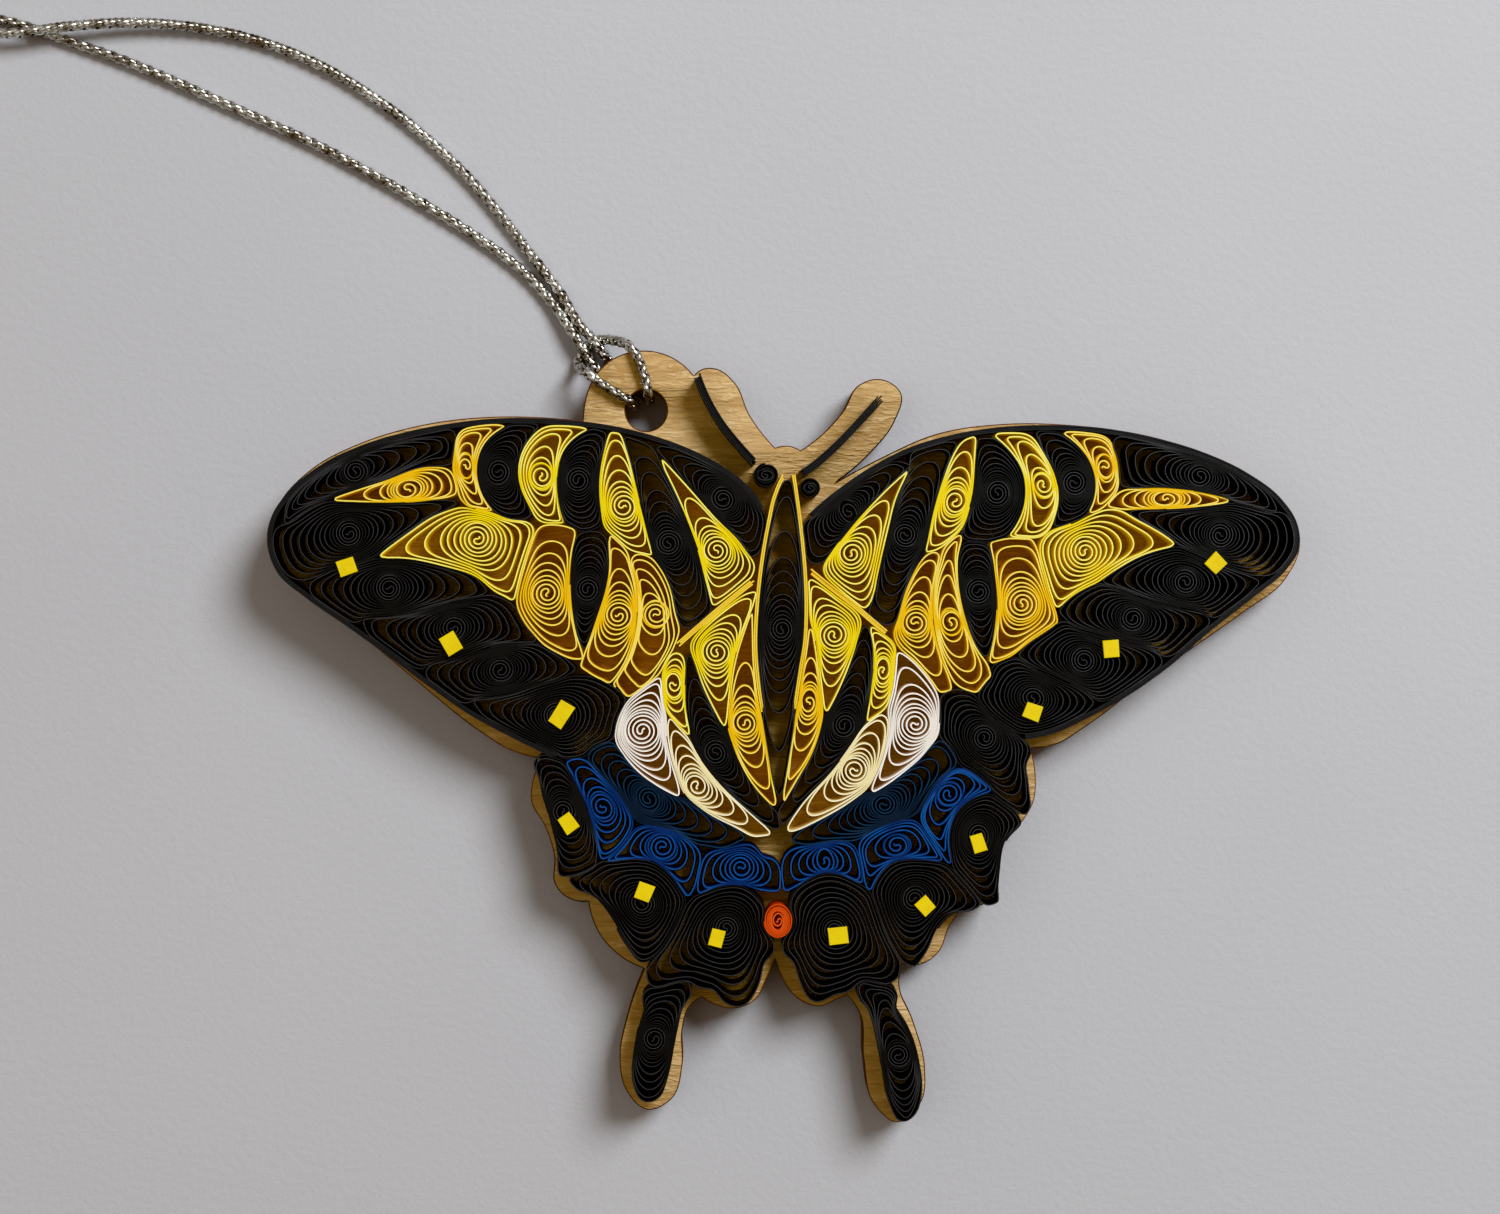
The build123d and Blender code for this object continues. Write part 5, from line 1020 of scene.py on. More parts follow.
@dataclass
class QuilledCoil:
    """One rolled and pinched strip: an outline, an eye and the turns between them.

    Lengths are in millimetres. The gaps are those between turns: at the nose, in the core and where
    turns are stacked inside the outline. core_share is of the outline's least distance from the eye,
    and hook_share is of the core's radius.
    """

    eye: Points
    outline: Points
    corners: list[Points]
    seed: int
    half_thickness: float = 0.07
    nose_gap: float = 0.75
    core_gap: float = 0.42
    stack_gap: float = 0.11
    core_radius: float = 1.5
    core_share: float = 0.74
    core_spread: float = 0.1
    core_reach: float = 2.5
    widest_core: float = 1.25
    flattest_core: float = 1.8
    hook_radius: float = 0.5
    hook_share: float = 0.55
    fewest_turns: float = 3.0
    most_turns: float = 6.8
    least_core_turns: float = 0.9
    turn_spread: float = 0.3
    unevenness: float = 0.35
    outer_pace: float = 1.45
    pace_drop: float = 0.8
    outer_turn: float = 0.8
    press_start: float = 0.75
    press_end: float = 1.1
    press_softness: float = 0.07
    stack_room: float = 0.9
    most_stacked: float = 3.0
    ring_softness: tuple[float, ...] = (6.0, 13.0, 24.0)
    softening: float = 5.0
    outer_squareness: float = 2.8
    squareness_drop: float = 0.8
    blend_start: float = 0.45
    bend_softness: tuple[float, float, float] = (1.6, 4.5, 9.0)
    closed_gap: float = 0.18
    open_gap: float = 0.58
    core_openness: float = 0.8
    points_a_turn: int = 240
    outline_step: float = 0.1
    fine_step: float = 0.05
    path_step: float = 0.18
    most_eye_offset: float = 0.35
    give: float = 0.14

    @classmethod
    def from_shares(cls, eye: tuple[float, float], outline: Sequence[tuple[float, ...]], share_mm: float,
                    seed: int, **kinds: float) -> "QuilledCoil":
        """Make a coil from the outline's shares.

        Args:
            eye: The eye, in hundredths of the wing span.
            outline: The outline's places, in the same unit.
            share_mm: That unit in millimetres.
            seed: The number that its small irregularities come from.
            kinds: Other fields to set.

        Returns:
            The coil.
        """
        line = closed_line(anticlockwise(smooth_line(outline, True) * share_mm))
        corners = [np.array(place[:2]) * share_mm for place in outline if len(place) > 2]
        return cls(np.array(eye) * share_mm, resampled(line, cls.outline_step), corners, seed, **kinds)

    def is_star(self, slack: float = -0.004, most: float = 0.97) -> bool:
        """Tell whether nearly every point of the outline sees the eye."""
        spokes = self.outline - self.eye
        return bool((np.cross(spokes[:-1], spokes[1:]) > slack).mean() > most)

    def core_places(self, angle: Points, core: float) -> Points:
        """Give the core's distance from the eye at each angle, longer along the coil.

        Args:
            angle: The angles around the eye.
            core: The core's radius across the coil.

        Returns:
            The distances.
        """
        spokes = self.outline - self.eye
        far = lengths(spokes)
        near = spokes[far < self.core_reach * far.min()]
        _, ways = np.linalg.eigh(near.T @ near)
        along = math.atan2(ways[1, 1], ways[0, 1])
        long = min(max(self.widest_core, core), self.flattest_core * core)
        return long * core / np.hypot(core * np.cos(angle - along), long * np.sin(angle - along))

    def tips(self) -> tuple[int, int]:
        """Find the two ends of a bent coil.

        Returns:
            The numbers of both outline points.
        """
        picked = [int(lengths(self.outline - corner).argmin()) for corner in self.corners]
        if len(picked) < 2:
            picked = list(range(0, len(self.outline) - 1, 4))
        pairs = [(np.linalg.norm(self.outline[a] - self.outline[b]), a, b)
                 for a in picked for b in picked if a < b]
        return max(pairs)[1:]

    def star_turns(self, winding: Winding) -> Points:
        """Shrink the outline towards a round core, softer from turn to turn.

        Args:
            winding: The path so far.

        Returns:
            The path's places.
        """
        degrees = 360  # The outline's distances are taken at every one
        spokes = winding.line - self.eye
        angles = np.maximum.accumulate(np.unwrap(np.arctan2(spokes[:, 1], spokes[:, 0])))
        angles += np.arange(len(angles)) * 1e-7
        even = angles[0] + np.arange(degrees + 1) / degrees * math.tau
        far = np.interp(even, angles, lengths(spokes))[:-1]
        softer = [far] + [smoothed_ring(far[:, None], sigma)[:, 0] for sigma in self.ring_softness]
        wrapped = np.mod(winding.angle - angles[0], math.tau) / math.tau * degrees
        rows = np.stack([np.interp(wrapped, np.arange(degrees + 1), closed_line(ring)) for ring in softer])
        level = np.clip(winding.sunk * self.softening, 0, len(self.ring_softness) - 1e-6)
        below = level.astype(int)
        here = np.arange(len(winding.angle))
        shape = rows[below, here] * (1 - level + below) + rows[below + 1, here] * (level - below)
        cores = self.core_places(winding.angle, winding.core)
        relaxed = shape * (1 - winding.sunk) + cores * winding.sunk
        room = self.stack_room * (far.min() - winding.core) / winding.wound[winding.sunk < 1].max()
        held = rows[0] - winding.wound * min(self.stack_gap, room)
        pressed = held - self.press_softness * np.logaddexp(0, (held - relaxed) / self.press_softness)
        away = relaxed + (pressed - relaxed) * eased(winding.wound, self.press_start, self.press_end)
        away = np.where(winding.sunk >= 1, cores, away)
        return self.eye + directions(winding.angle) * away[:, None]

    def bent_turns(self, winding: Winding) -> Points:
        """Shrink a bent outline along its own middle line towards a round core.

        Args:
            winding: The path so far.

        Returns:
            The path's places.
        """
        line, sunk, core = winding.line, winding.sunk, winding.core
        first, second = self.tips()
        ring = line[:-1]
        cuts = 160
        there = np.linspace(0, 1, cuts + 1)
        sides = []
        for side in (ring[first:second + 1], np.concatenate([ring[second:], ring[:first + 1]])[::-1]):
            long = travelled(side)
            sides.append(at_lengths(side, long, there * long[-1]))
        middle, half = (sides[0] + sides[1]) / 2, (sides[0] - sides[1]) / 2
        at = min(max(int(lengths(middle - self.eye).argmin()), cuts // 10), cuts - cuts // 10)
        eye_along = there[at]
        eye_across = float(np.clip((self.eye - middle[at]) @ half[at] / (half[at] @ half[at]),
                                   -self.most_eye_offset, self.most_eye_offset))
        way = middle[at + 4] - middle[at - 4]
        turned = winding.angle - math.atan2(way[1], way[0])
        length = lengths(np.diff(middle, axis=0)).sum()
        along, side = np.cos(turned), -np.sin(turned)
        span = np.where(along > 0, 1 - eye_along, eye_along)
        nose = (1 - np.abs(along) ** (self.outer_squareness - self.squareness_drop * sunk)) ** 0.5
        outer = eased(sunk, 0.0, 0.1)
        across = np.sign(side) * ((1 - outer) + outer * nose)
        along = eye_along + along * span * (1 - sunk * (1 - core / (span * length)))
        across = eye_across * sunk + across * (1 - sunk * (1 - core / np.linalg.norm(half[at])))
        across = np.where(sunk <= 0, np.sign(side), across)
        bent = np.stack([np.interp(along, there, m) + np.interp(along, there, h) * across
                         for m, h in zip(middle.T, half.T)], axis=1)
        cores = self.eye + directions(winding.angle) * self.core_places(winding.angle, core)[:, None]
        turns = bent + (cores - bent) * eased(sunk, self.blend_start, 1.0)[:, None]
        nearest = np.linalg.norm(turns[:, None] - line[None], axis=2).argmin(axis=1)
        outward = -lefts(line)[nearest]
        depth = ((line[nearest] - turns) * outward).sum(axis=1)
        least = self.stack_gap * np.clip(winding.wound - self.outer_turn, 0, self.most_stacked)
        return turns + outward * np.minimum(depth - least, 0)[:, None]

    def hook(self, angle: float, turning: float, radius: float) -> Points:
        """Bend the strip's inner end into a small hook.

        Args:
            angle: Where the core's last turn ends.
            turning: Which way the strip winds, 1 or -1.
            radius: How far that end is from the eye.

        Returns:
            The hook's places.
        """
        last = radius * np.exp(1j * angle)
        bend = np.linspace(0.05, 1, 30)
        small = 0.32 * last
        hook = np.concatenate([last / 2 + last / 2 * np.exp(1j * turning * np.pi * bend),
                               -small + small * np.exp(-1j * turning * np.pi * 0.9 * bend)])
        return self.eye + np.stack([hook.real, hook.imag], axis=1)

    def path(self) -> Points:
        """Wind the strip.

        Returns:
            Rows of a place, in millimetres, the number of turns so far and the openness.
        """
        rng = np.random.default_rng(self.seed)
        line = self.outline + lefts(self.outline) * self.half_thickness
        line[0] = line[-1] = (line[0] + line[-1]) / 2
        spokes = line - self.eye
        reach = lengths(spokes)
        core = self.core_radius * rng.uniform(1 - self.core_spread, 1 + self.core_spread)
        core = float(min(core, self.core_share * reach.min()))
        outer = float(np.clip((reach.max() - core) / self.nose_gap, self.fewest_turns, self.most_turns))
        outer += rng.uniform(-self.turn_spread, self.turn_spread)
        hooked = min(self.hook_radius, self.hook_share * core)
        inner = max(self.least_core_turns, (core - hooked) / self.core_gap)
        turning = rng.choice([1.0, -1.0])
        nearest = spokes[reach.argmin()]
        start = math.atan2(nearest[1], nearest[0]) + rng.uniform(-self.turn_spread, self.turn_spread)
        wound = np.linspace(0, outer + inner, int((outer + inner) * self.points_a_turn))
        knots = rng.uniform(1 - self.unevenness, 1 + self.unevenness, int(outer + inner) * 2 + 6)
        pace = np.interp(wound * 2, np.arange(len(knots)), knots)
        pace = pace * (self.outer_pace - self.pace_drop * wound / outer)
        sunk = np.cumsum(np.where((wound >= self.outer_turn) & (wound <= outer), pace, 0.0))
        sunk = sunk / sunk[-1]
        angle = start + turning * math.tau * wound
        winding = Winding(line, angle, wound, sunk, core)
        here = self.star_turns(winding) if self.is_star() else self.bent_turns(winding)
        shrunk = np.clip(1 - (wound - outer) / inner, 0, 1)
        away = hooked + (self.core_places(angle, core) - hooked) * shrunk
        here = np.where((wound > outer)[:, None], self.eye + directions(angle) * away[:, None], here)
        # Openness sets how much painted highlight each turn's edge gets; packed turns keep the painted shade.
        ahead = np.interp(wound + 1, wound, np.arange(len(wound))).astype(int)
        gap = lengths(here - here[ahead])
        openness = np.clip((gap - self.closed_gap) / (self.open_gap - self.closed_gap), 0, 1)
        openness[wound > outer] = self.core_openness
        rows = np.column_stack([here, wound, openness, sunk])
        hook = self.hook(angle[-1], turning, hooked)
        tail = np.column_stack([hook, wound[-1] + np.linspace(0, 0.6, len(hook)),
                                np.full(len(hook), self.core_openness), np.ones(len(hook))])
        return self.relaxed(resampled(np.concatenate([rows, tail]), self.fine_step))

    def relaxed(self, rows: Points) -> Points:
        """Take the sharp bends out of a path, more so between its outer turn and its core.

        Args:
            rows: Rows of a place, the turns so far, the openness and how far in the path is.

        Returns:
            The rows without the last column, at the steps of the finished strip.
        """
        firm, soft, wide = (smoothed(rows[:, :2], sigma) for sigma in self.bend_softness)
        sunk = rows[:, 4]
        opened = eased(rows[:, 2], 0.8, 1.3)[:, None]
        deeper = (eased(sunk, 0.02, 0.4) * (1 - eased(sunk, 0.75, 0.98)))[:, None]
        cored = eased(sunk, 0.9, 1.0)[:, None]
        rows[:, :2] = firm + (soft - firm) * opened * (1 - cored) + (wide - soft) * deeper * 0.8
        return resampled(rows[:, :4], self.path_step)


@dataclass
class Nesting:
    """How the coils are let out until they touch. Lengths are in millimetres."""

    rounds: int = 9
    reach: float = 1.9
    most: float = 1.1
    most_at_corner: float = 0.25
    corner_start: float = 0.3
    corner_end: float = 1.4
    paper_gap: float = 0.02
    deepest_overlap: float = 0.25
    longest_step_in: float = 0.08
    longest_step_out: float = 0.25
    shrink_share: float = 0.8
    step_softness: float = 6.0
    line_softness: float = 1.6

    def step(self, coil: QuilledCoil, rest: Points) -> tuple[Points, Points]:
        """Let one coil out a little.

        Args:
            coil: The coil, whose outline has a third column that says how far it has grown.
            rest: The places and outward directions of everything around it.

        Returns:
            The new outline, and how clear each of its points is of the coil's corners, from 0 to 1.
        """
        line, grown = coil.outline[:, :2], coil.outline[:, 2]
        low, high = line.min(axis=0) - self.reach, line.max(axis=0) + self.reach
        rest = rest[((rest[:, :2] > low) & (rest[:, :2] < high)).all(axis=1)]
        away = line[:, None] - rest[None, :, :2]
        far = np.linalg.norm(away, axis=2)
        at = far.argmin(axis=1)
        here = np.arange(len(line))
        outside = (away[here, at] * rest[at, 2:]).sum(axis=1) > 0
        near = far[here, at]
        gap = np.where(outside | (near > self.deepest_overlap), near, -near) - self.paper_gap
        step = (np.clip(gap * coil.give, -self.longest_step_in, self.longest_step_out)
                * (1 - eased(gap, self.reach * 0.7, self.reach)))
        corners = [lengths(line - corner) - grown for corner in coil.corners]
        open_side = np.full(len(line), self.corner_end)
        clear = eased(np.min(corners, axis=0) if corners else open_side, self.corner_start, self.corner_end)
        most = self.most_at_corner + (self.most - self.most_at_corner) * clear
        step = np.clip(step, -self.shrink_share * coil.give - grown, np.maximum(most - grown, 0))
        step = closed_line(smoothed_ring(step[:-1, None], self.step_softness)[:, 0])
        aside = lefts(np.concatenate([line[-2:-1], line, line[1:2]]))[1:-1]
        return np.column_stack([line - aside * step[:, None], grown + step]), clear

    def run(self, coils: list[QuilledCoil], walls: list[Points]) -> None:
        """Let each coil out until it touches what is beside it.

        Args:
            coils: The coils that are let out.
            walls: The places and outward directions of what keeps its size.
        """
        for coil in coils:
            coil.outline = np.column_stack([coil.outline, np.zeros(len(coil.outline))])
        for _ in range(self.rounds):
            outsides = [np.column_stack([coil.outline[:, :2], -lefts(coil.outline[:, :2])]) for coil in coils]
            moved = [self.step(coil, np.concatenate(walls + outsides[:number] + outsides[number + 1:]))
                     for number, coil in enumerate(coils)]
            for coil, (line, clear) in zip(coils, moved):
                soft = smoothed_ring(line[:-1], self.line_softness)
                line[:-1] += (soft - line[:-1]) * clear[:-1, None]
                line[-1] = line[0]
                coil.outline = resampled(line, coil.outline_step)
        for coil in coils:
            coil.outline = coil.outline[:, :2]


@dataclass
class CoilWork:
    """Every rolled coil of the wings, the body, the eyes and the orange spot."""

    plane: BoardPlane
    strips: StripMaker
    nesting: Nesting = field(default_factory=Nesting)
    height_spread: float = 0.05
    turn_spread: float = 0.035
    wall_step: float = 0.15
    round_coils: dict[str, tuple[tuple[float, float], float, float]] = field(default_factory=lambda: {
        "left_eye": ((-1.9, 25.3), 1.2, 1.2), "right_eye": ((2.3, 24.05), 1.0, 1.0),
        "orange_spot": ((-0.75, -17.3), 1.42, 1.68)})
    close_wound: dict[str, float] = field(default_factory=lambda: {
        "nose_gap": 0.42, "most_turns": 10.5, "core_gap": 0.29, "core_radius": 1.2, "give": 0.45})
    tight_wound: dict[str, float] = field(default_factory=lambda: {
        "half_thickness": 0.065, "nose_gap": 0.17, "core_gap": 0.17, "core_share": 0.5})

    def coils(self) -> dict[str, list[QuilledCoil]]:
        """Make every node's coils, the round ones with outlines worked out.

        Returns:
            The coils of each node.
        """
        share = self.plane.share_mm
        made = {}
        for number, (node, coils) in enumerate(COIL_SHARES.items()):
            kinds = self.close_wound if paper_of(node) in (Paper.BLACK, Paper.NAVY) else {}
            made[node] = [QuilledCoil.from_shares(eye, outline, share, number * 10 + index, **kinds)
                          for index, (eye, outline) in enumerate(coils)]
        for number, (node, (centre, wide, tall)) in enumerate(self.round_coils.items()):
            outline = [(centre[0] + wide / share * math.cos(a), centre[1] + tall / share * math.sin(a))
                       for a in np.arange(12) / 12 * math.tau]
            made[node] = [QuilledCoil.from_shares(centre, outline, share, 900 + number, **self.tight_wound)]
        return made

    def walls(self, fixed: list[QuilledCoil]) -> list[Points]:
        """Trace what keeps its size: the round coils and both sides of the standing strips.

        Args:
            fixed: The round coils.

        Returns:
            Rows of a place and its outward direction.
        """
        walls = [np.column_stack([coil.outline, -lefts(coil.outline)]) for coil in fixed]
        for thickness, places in STANDING_STRIP_SHARES.values():
            line = resampled(smooth_line(places, False) * self.plane.share_mm, self.wall_step)
            for side in (lefts(line), -lefts(line)):
                walls.append(np.column_stack([line + side * thickness / 2, side]))
        return walls

    def stand(self, parts: MeshParts, coil: QuilledCoil) -> None:
        """Stand one wound strip on the board, each turn a little higher or lower.

        Args:
            parts: Where it is added.
            coil: The coil.
        """
        rng = np.random.default_rng(coil.seed + 7000)
        line = coil.path()
        steps = rng.uniform(-1, 1, int(line[-1, 2]) + 3) * self.turn_spread
        top = rng.normal(0, self.height_spread / 2) + np.interp(line[:, 2], np.arange(len(steps)), steps)
        self.strips.stand(parts, line[:, :2], top, line[:, 3], coil.half_thickness)

    def build(self) -> None:
        """Build one piece for each coil node."""
        made = self.coils()
        fixed = [made[node][0] for node in self.round_coils]
        self.nesting.run([coil for node, coils in made.items() if node not in self.round_coils
                          for coil in coils], self.walls(fixed))
        for node, coils in made.items():
            parts = MeshParts()
            for coil in coils:
                self.stand(parts, coil)
            paper = paper_of(node)
            parts.piece(f"rolled_{node}", paper.materials(), paper.slot, node)


@dataclass
class StandingStrips:
    """The strips that stand on edge without being rolled, each of a few thin layers."""

    plane: BoardPlane
    strips: StripMaker
    layer_thickness: float = 0.18
    half_thickness: float = 0.075
    spread: float = 0.03
    waviness: float = 0.05
    wave_rows: float = 6.0
    step: float = 0.3
    # A fixed openness: how much painted highlight the strips' edges get.
    openness: float = 0.35

    def build(self) -> None:
        """Build one piece for each strip node."""
        for number, (node, (thickness, places)) in enumerate(STANDING_STRIP_SHARES.items()):
            rng = np.random.default_rng(500 + number)
            layers = max(2, round(thickness / self.layer_thickness))
            line = resampled(smooth_line(places, False) * self.plane.share_mm, self.step)
            parts = MeshParts()
            for layer in range(layers):
                aside = (layer - (layers - 1) / 2) * (thickness - 2 * self.half_thickness) / (layers - 1)
                cut = line[int(rng.integers(0, 2)):len(line) - int(rng.integers(0, 2))]
                lift = rng.normal(0, self.spread)
                waves = smoothed(rng.normal(0, self.waviness, (len(cut), 1)), self.wave_rows)[:, 0]
                self.strips.stand(parts, cut + lefts(cut) * aside, lift + waves,
                                  np.full(len(cut), self.openness), self.half_thickness)
            paper = paper_of(node)
            parts.piece(f"standing_{node}", paper.materials(), paper.slot, node)


def offset_loop(loop: Points, distance: float) -> Points:
    """Move a closed loop to its left."""
    wrapped = np.concatenate([loop[-1:], loop, loop[:1]])
    return loop + lefts(wrapped)[1:-1] * distance


def plate(parts: MeshParts, plane: BoardPlane, loops: list[Points], low: float, high: float,
          bevel: float) -> None:
    """Add a flat plate with its holes.

    Args:
        parts: Where it is added.
        plane: The board's plane.
        loops: The outline, anticlockwise, and then each hole, clockwise, in millimetres.
        low: The height of its underside above the board's back.
        high: The height of its face.
        bevel: How much its edges are broken.
    """
    levels = [(bevel, low), (0.0, low + bevel), (0.0, high - bevel), (bevel, high)]
    points, faces, slots, under, over = [], [], [], [], []
    total = 0
    for loop in loops:
        count = len(loop)
        here = np.arange(count)
        after = (here + 1) % count
        for inset, height in levels:
            points.append(plane.points(offset_loop(loop, inset), np.full(count, height)))
        for level in range(3):
            lower, upper = total + level * count, total + (level + 1) * count
            faces += np.stack([lower + here, lower + after, upper + after, upper + here], axis=1).tolist()
            slots += [1] * count
        under.append(total + here)
        over.append(total + 3 * count + here)
        total += 4 * count
    under, over = np.concatenate(under), np.concatenate(over)
    flat = [[Vector((*place, 0.0)) for place in offset_loop(loop, bevel)] for loop in loops]
    places = np.concatenate([offset_loop(loop, bevel) for loop in loops])
    for a, b, c in tessellate_polygon(flat):
        if np.cross(places[b] - places[a], places[c] - places[a]) < 0:
            b, c = c, b
        faces += [[over[a], over[b], over[c]], [under[a], under[c], under[b]]]
        slots += [0, 0]
    parts.add(np.concatenate(points), faces, np.array(slots))


@dataclass
class BackingBoard:
    """The flat wooden board, with its tab, its lobes, its tails and the drilled hole."""

    plane: BoardPlane
    bevel: float = 0.12
    hole_radius: float = 2.08
    hole_sides: int = 72
    hole_centre_shares: tuple[float, float] = (-13.4, 31.65)
    # The last colour is the painted highlight on the ripples.
    face: WoodFace = WoodFace("birch_face", rgb(206, 172, 120), rgb(168, 128, 78), rgb(230, 202, 154))
    side: ScorchedEdge = ScorchedEdge("scorched_edge", rgb(120, 72, 38), rgb(52, 28, 14))

    def build(self) -> None:
        """Build the board."""
        stretches = [smooth_line(stretch, False, 8)[:-1] for stretch in BOARD_OUTLINE_SHARES]
        outline = anticlockwise(np.concatenate(stretches) * self.plane.share_mm)
        clockwise = -np.arange(self.hole_sides) / self.hole_sides * math.tau
        centre = np.array(self.hole_centre_shares) * self.plane.share_mm
        hole = centre + self.hole_radius * directions(clockwise)
        parts = MeshParts()
        plate(parts, self.plane, [outline, hole], 0.0, self.plane.thickness_mm, self.bevel)
        materials = [self.face.material(), self.side.material()]
        parts.piece("cut_board", materials, "birch_board", "backing_board")


@dataclass
class PaperSquares:
    """The small flat squares glued on the black coils."""

    plane: BoardPlane
    thickness: float = 0.32
    glue: float = 0.02
    bevel: float = 0.04
    corner_spread: float = 0.03
    side_points: int = 6
    sharp_degrees: float = 30.0
    paper: FlatPaper = FlatPaper("square_paper", rgb(236, 210, 8), rgb(214, 180, 0))

    def build(self) -> None:
        """Build the squares as one piece."""
        parts = MeshParts()
        rng = np.random.default_rng(90)
        base = self.plane.thickness_mm + self.plane.strip_mm
        for across, up, width, height, turn in SQUARE_SHARES:
            corners = np.array([(-width, -height), (width, -height), (width, height), (-width, height)]) / 2
            corners = corners + rng.normal(0, self.corner_spread, (4, 2))
            angle = math.radians(turn)
            spin = np.array([[math.cos(angle), math.sin(angle)], [-math.sin(angle), math.cos(angle)]])
            sides = [np.linspace(corners[i], corners[(i + 1) % 4], self.side_points)[:-1] for i in range(4)]
            loop = (np.concatenate(sides) @ spin + (across, up)) * self.plane.share_mm
            plate(parts, self.plane, [loop], base + self.glue, base + self.thickness, self.bevel)
        parts.piece("flat_squares", [self.paper.material()] * 2, "yellow_paper", "yellow_squares",
                    sharp_degrees=self.sharp_degrees)


@dataclass
class SilverCord:
    """The braided silver cord: its line, its threads, its dark core, whose dark grey stands in for the shade
    between the threads, and its knot. In millimetres.
    """

    diameter: float = 1.0
    threads_each_way: int = 3
    pitch: float = 3.9
    braid_share: float = 0.57
    thread_width: float = 0.52
    thread_thickness: float = 0.24
    weave_depth: float = 0.09
    roll: float = 0.3
    roll_rows: float = 3.0
    step: float = 0.17
    core_radius: float = 0.26
    core_sides: int = 6
    sharp_degrees: float = 60.0
    bight: Place = (-19.6, 39.9, 0.5)
    section: tuple[tuple[float, float], ...] = (
        (-1.0, -0.2), (-0.6, 0.75), (0.0, 1.0), (0.6, 0.75), (1.0, -0.2), (0.0, -1.0))
    silver: SilverThread = SilverThread("silver_thread", rgb(222, 222, 218), rgb(126, 116, 104))
    # Painted shade: the core is dark grey so the gaps between the threads look shaded.
    dark: FlatPaper = FlatPaper("shaded_core_fibre", rgb(70, 68, 66), rgb(40, 38, 36))

    def route(self) -> Points:
        """Read the cord's line from a smooth spline through its route's control points.

        Returns:
            The points of the line.
        """
        curve = bpy.data.curves.new("cord_route", "CURVE")
        curve.dimensions = "3D"
        curve.resolution_u = 24
        spline = curve.splines.new("NURBS")
        spline.points.add(len(CORD_ROUTE_MM) - 1)
        for point, place in zip(spline.points, CORD_ROUTE_MM):
            point.co = (*(value * MM for value in place), 1.0)
        spline.order_u = 3
        spline.use_endpoint_u = True
        holder = added("cord_route", curve)
        bpy.context.view_layer.update()
        mesh = bpy.data.meshes.new_from_object(holder)
        line = np.array([corner.co for corner in mesh.vertices]) / MM
        bpy.data.objects.remove(holder)
        bpy.data.curves.remove(curve)
        bpy.data.meshes.remove(mesh)
        return line

    def frames(self, line: Points) -> tuple[Points, Points]:
        """Carry two directions across a line along it without twisting them.

        Args:
            line: The line.

        Returns:
            Both directions at each point.
        """
        ways = units(np.gradient(line, axis=0))
        side = np.cross(ways[0], (0.0, 0.0, 1.0))
        sides = []
        for way in ways:
            side = side - way * (side @ way)
            side = side / np.linalg.norm(side)
            sides.append(side)
        sides = np.array(sides)
        return sides, np.cross(ways, sides)

    def turned(self, line: Points) -> Points:
        """Give how far the braid has turned at each point of a line."""
        return np.arange(len(line)) * self.step / self.pitch * math.tau

    def thread(self, line: Points, across: tuple[Points, Points], turned: Points, way: int,
               number: int) -> Points:
        """Wind one flat thread of the braid.

        Args:
            line: The cord's line.
            across: Two directions across it.
            turned: How far the braid has turned at each point.
            way: Which way this thread winds, 1 or -1.
            number: Its number among the threads that wind the same way.

        Returns:
            The thread's rings of points.
        """
        sides, ups = across
        rng = np.random.default_rng(300 + number * 2 + way)
        angle = way * turned + math.tau * number / self.threads_each_way
        outer = self.diameter * self.braid_share - self.thread_thickness / 2 - self.weave_depth
        radius = outer + way * self.weave_depth * np.cos(self.threads_each_way * turned)
        out = np.cos(angle)[:, None] * sides + np.sin(angle)[:, None] * ups
        middle = line + out * radius[:, None]
        along = units(np.gradient(middle, axis=0))
        beside = units(np.cross(along, out))
        out = np.cross(beside, along)
        roll = smoothed(rng.normal(0, self.roll, (len(line), 1)), self.roll_rows)
        wide = np.cos(roll) * beside + np.sin(roll) * out
        thick = np.cos(roll) * out - np.sin(roll) * beside
        half_wide, half_thick = self.thread_width / 2, self.thread_thickness / 2
        return np.stack([middle + wide * (a * half_wide) + thick * (b * half_thick)
                         for a, b in self.section], axis=1)

    def tube(self, parts: MeshParts, rings: Points, slot: int) -> None:
        """Add a closed tube.

        Args:
            parts: Where it is added.
            rings: Its rings of points, in millimetres.
            slot: Its material slot.
        """
        count, size = rings.shape[:2]
        here = np.arange(count - 1)[:, None] * size
        corners = [(corner, (corner + 1) % size) for corner in range(size)]
        faces = [here + [corner, after, after + size, corner + size] for corner, after in corners]
        quads = np.concatenate(faces)[:, ::-1].tolist()
        quads += [tuple(range(size)), tuple((count - 1) * size + corner for corner in range(size))[::-1]]
        parts.add(rings.reshape(-1, 3) * MM, quads, np.full(len(quads), slot))

    def braid(self, parts: MeshParts, line: Points, turned: Points) -> None:
        """Wrap the threads and the core along a line.

        Args:
            parts: Where they are added.
            line: The line.
            turned: How far the braid has turned at each point.
        """
        across = self.frames(line)
        for number in range(self.threads_each_way):
            for way in (1, -1):
                self.tube(parts, self.thread(line, across, turned, way, number), 0)
        sides, ups = across
        angles = np.arange(self.core_sides) / self.core_sides * math.tau
        core = [line + (math.cos(a) * sides + math.sin(a) * ups) * self.core_radius for a in angles]
        self.tube(parts, np.stack(core, axis=1), 1)

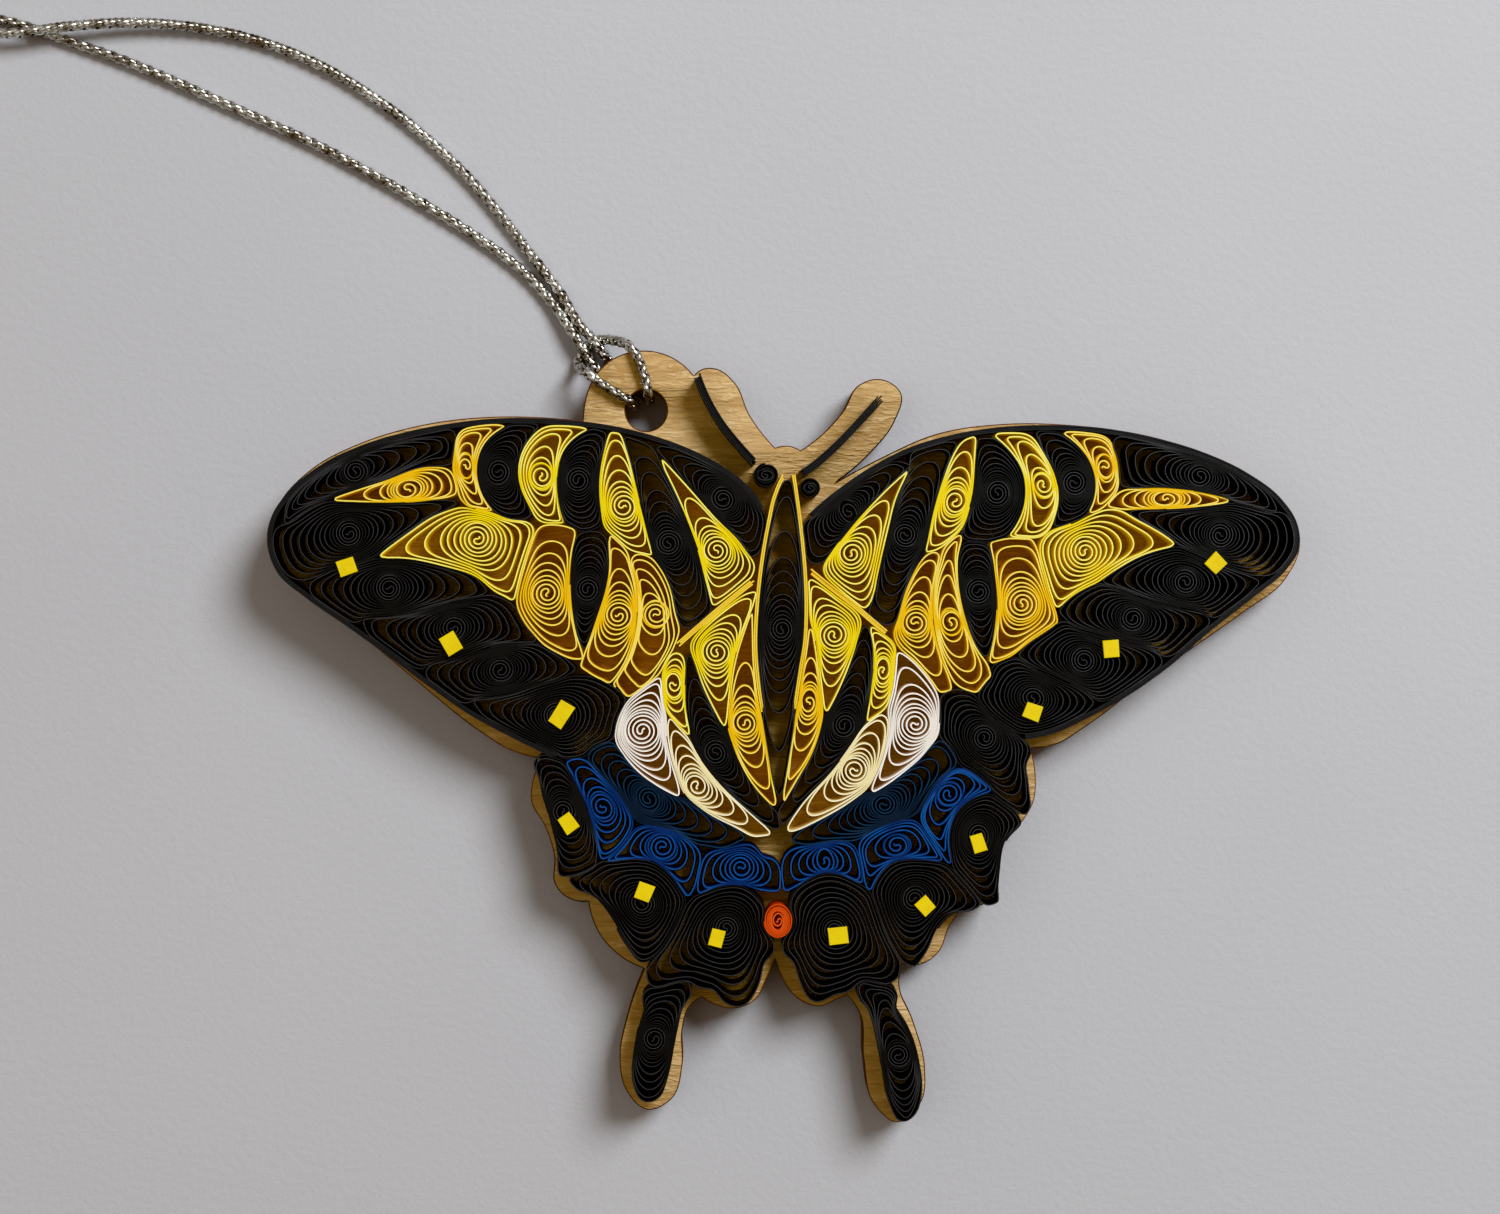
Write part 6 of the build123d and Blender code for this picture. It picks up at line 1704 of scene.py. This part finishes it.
    def knot(self, materials: list[bpy.types.Material]) -> bpy.types.Object:
        """Tie the two ends in a small tight knot.

        Args:
            materials: The threads' and the core's.

        Returns:
            The knot.
        """
        low, high = (np.array(corner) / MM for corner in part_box("cord_knot"))
        middle, half = (low + high) / 2, (high - low) / 2 - self.diameter / 2
        t = np.linspace(0, math.tau, 150)
        shape = np.stack([-np.sin(3 * t), (np.sin(t) + 2 * np.sin(2 * t)) / 3,
                          (np.cos(t) - 2 * np.cos(2 * t)) / 3], axis=1)
        line = resampled(middle + shape * half, self.step, 3)
        parts = MeshParts()
        self.braid(parts, line, self.turned(line))
        return parts.piece("tied_knot", materials, "silver_cord", "cord_knot",
                           sharp_degrees=self.sharp_degrees)

    def build(self) -> None:
        """Build the knot and the two halves of the cord, which meet at the middle of the bight."""
        materials = [self.silver.material(), self.dark.material()]
        knot = self.knot(materials)
        line = resampled(self.route(), self.step, 3)
        turned = self.turned(line)
        bight = int(lengths(line - np.array(self.bight)).argmin())
        upper, lower = slice(bight, None, -1), slice(bight, None)
        halves = {
            "upper_silver_cord": (line[upper], turned[upper], ["cord_hitch", "upper_cord_strand"]),
            "lower_silver_cord": (line[lower], turned[lower], ["lower_cord_strand"]),
        }
        for name, (part, turns, nodes) in halves.items():
            parts = MeshParts()
            self.braid(parts, part, turns)
            piece = parts.piece(name, materials, "silver_cord", *nodes, sharp_degrees=self.sharp_degrees)
            tuple(part[0] * MM)
            (part * MM).tolist()


@dataclass
class SoftLamp:
    """A round soft lamp that faces the butterfly. In metres and watts."""

    name: str
    place: Place
    size: float
    watts: float
    colour: Place

    def build(self) -> None:
        """Hang the lamp."""
        data = bpy.data.lights.new(self.name, "AREA")
        data.shape = "DISK"
        data.size = self.size
        data.energy = self.watts
        data.color = self.colour
        made = added(self.name, data)
        made.location = self.place
        made.rotation_mode = "QUATERNION"
        made.rotation_quaternion = Vector(self.place).to_track_quat("Z", "Y")


@dataclass
class Studio:
    """The camera at the photograph's angle, the pale sheet and the soft light."""

    aim_mm: Place = (-3.4, 13.1, 4.5)
    distance_mm: float = 240.0
    view_width_mm: float = 150.0
    sensor_width: float = 36.0
    sheet_half: float = 0.9
    sheet_cells: int = 12
    sheet: TableSheet = TableSheet("pale_sheet", rgb(193, 193, 198), rgb(184, 184, 190))
    window: SoftLamp = field(default_factory=lambda: SoftLamp(
        "window_light", (0.42, 0.46, 0.62), 0.42, 8.0, (0.94, 0.98, 1.0)))
    room: SoftLamp = field(default_factory=lambda: SoftLamp(
        "room_light", (-0.5, 0.1, 0.7), 0.9, 1.0, (1.0, 0.94, 0.86)))
    room_colour: Colour = rgb(236, 220, 200)
    room_strength: float = 0.32

    def camera(self) -> None:
        """Look straight down at the butterfly."""
        data = bpy.data.cameras.new("camera")
        data.sensor_width = self.sensor_width
        data.lens = data.sensor_width * self.distance_mm / self.view_width_mm
        made = added("camera", data)
        across, up, height = self.aim_mm
        made.location = [value * MM for value in (across, up, height + self.distance_mm)]
        bpy.context.scene.camera = made

    def floor(self) -> None:
        """Lay the pale sheet."""
        cells = self.sheet_cells
        row = cells + 1
        mesh = bpy.data.meshes.new("table_sheet")
        steps = np.linspace(-self.sheet_half, self.sheet_half, row)
        corners = [r * row + c for r in range(cells) for c in range(cells)]
        mesh.from_pydata([(x, y, 0.0) for y in steps for x in steps], [],
                         [(corner, corner + 1, corner + row + 1, corner + row) for corner in corners])
        mesh.materials.append(self.sheet.material())
        added("table_sheet", mesh)

    def build(self) -> None:
        """Set up the camera, the sheet and the light."""
        self.camera()
        self.floor()
        self.window.build()
        self.room.build()
        bpy.context.scene.view_settings.view_transform = "Khronos PBR Neutral"
        world = bpy.data.worlds.new("room")
        bpy.context.scene.world = world
        world.use_nodes = True
        background = world.node_tree.nodes["Background"]
        background.inputs["Color"].default_value = self.room_colour
        background.inputs["Strength"].default_value = self.room_strength


def main() -> None:
    """Build the studio and the butterfly."""
    logging.basicConfig(level=logging.INFO, format="%(name)s: %(message)s")
    Studio().build()
    SilverCord().build()
    plane = BoardPlane.from_frame()
    BackingBoard(plane).build()
    strips = StripMaker(plane)
    CoilWork(plane, strips).build()
    StandingStrips(plane, strips).build()
    PaperSquares(plane).build()


if __name__ == "__main__":
    main()
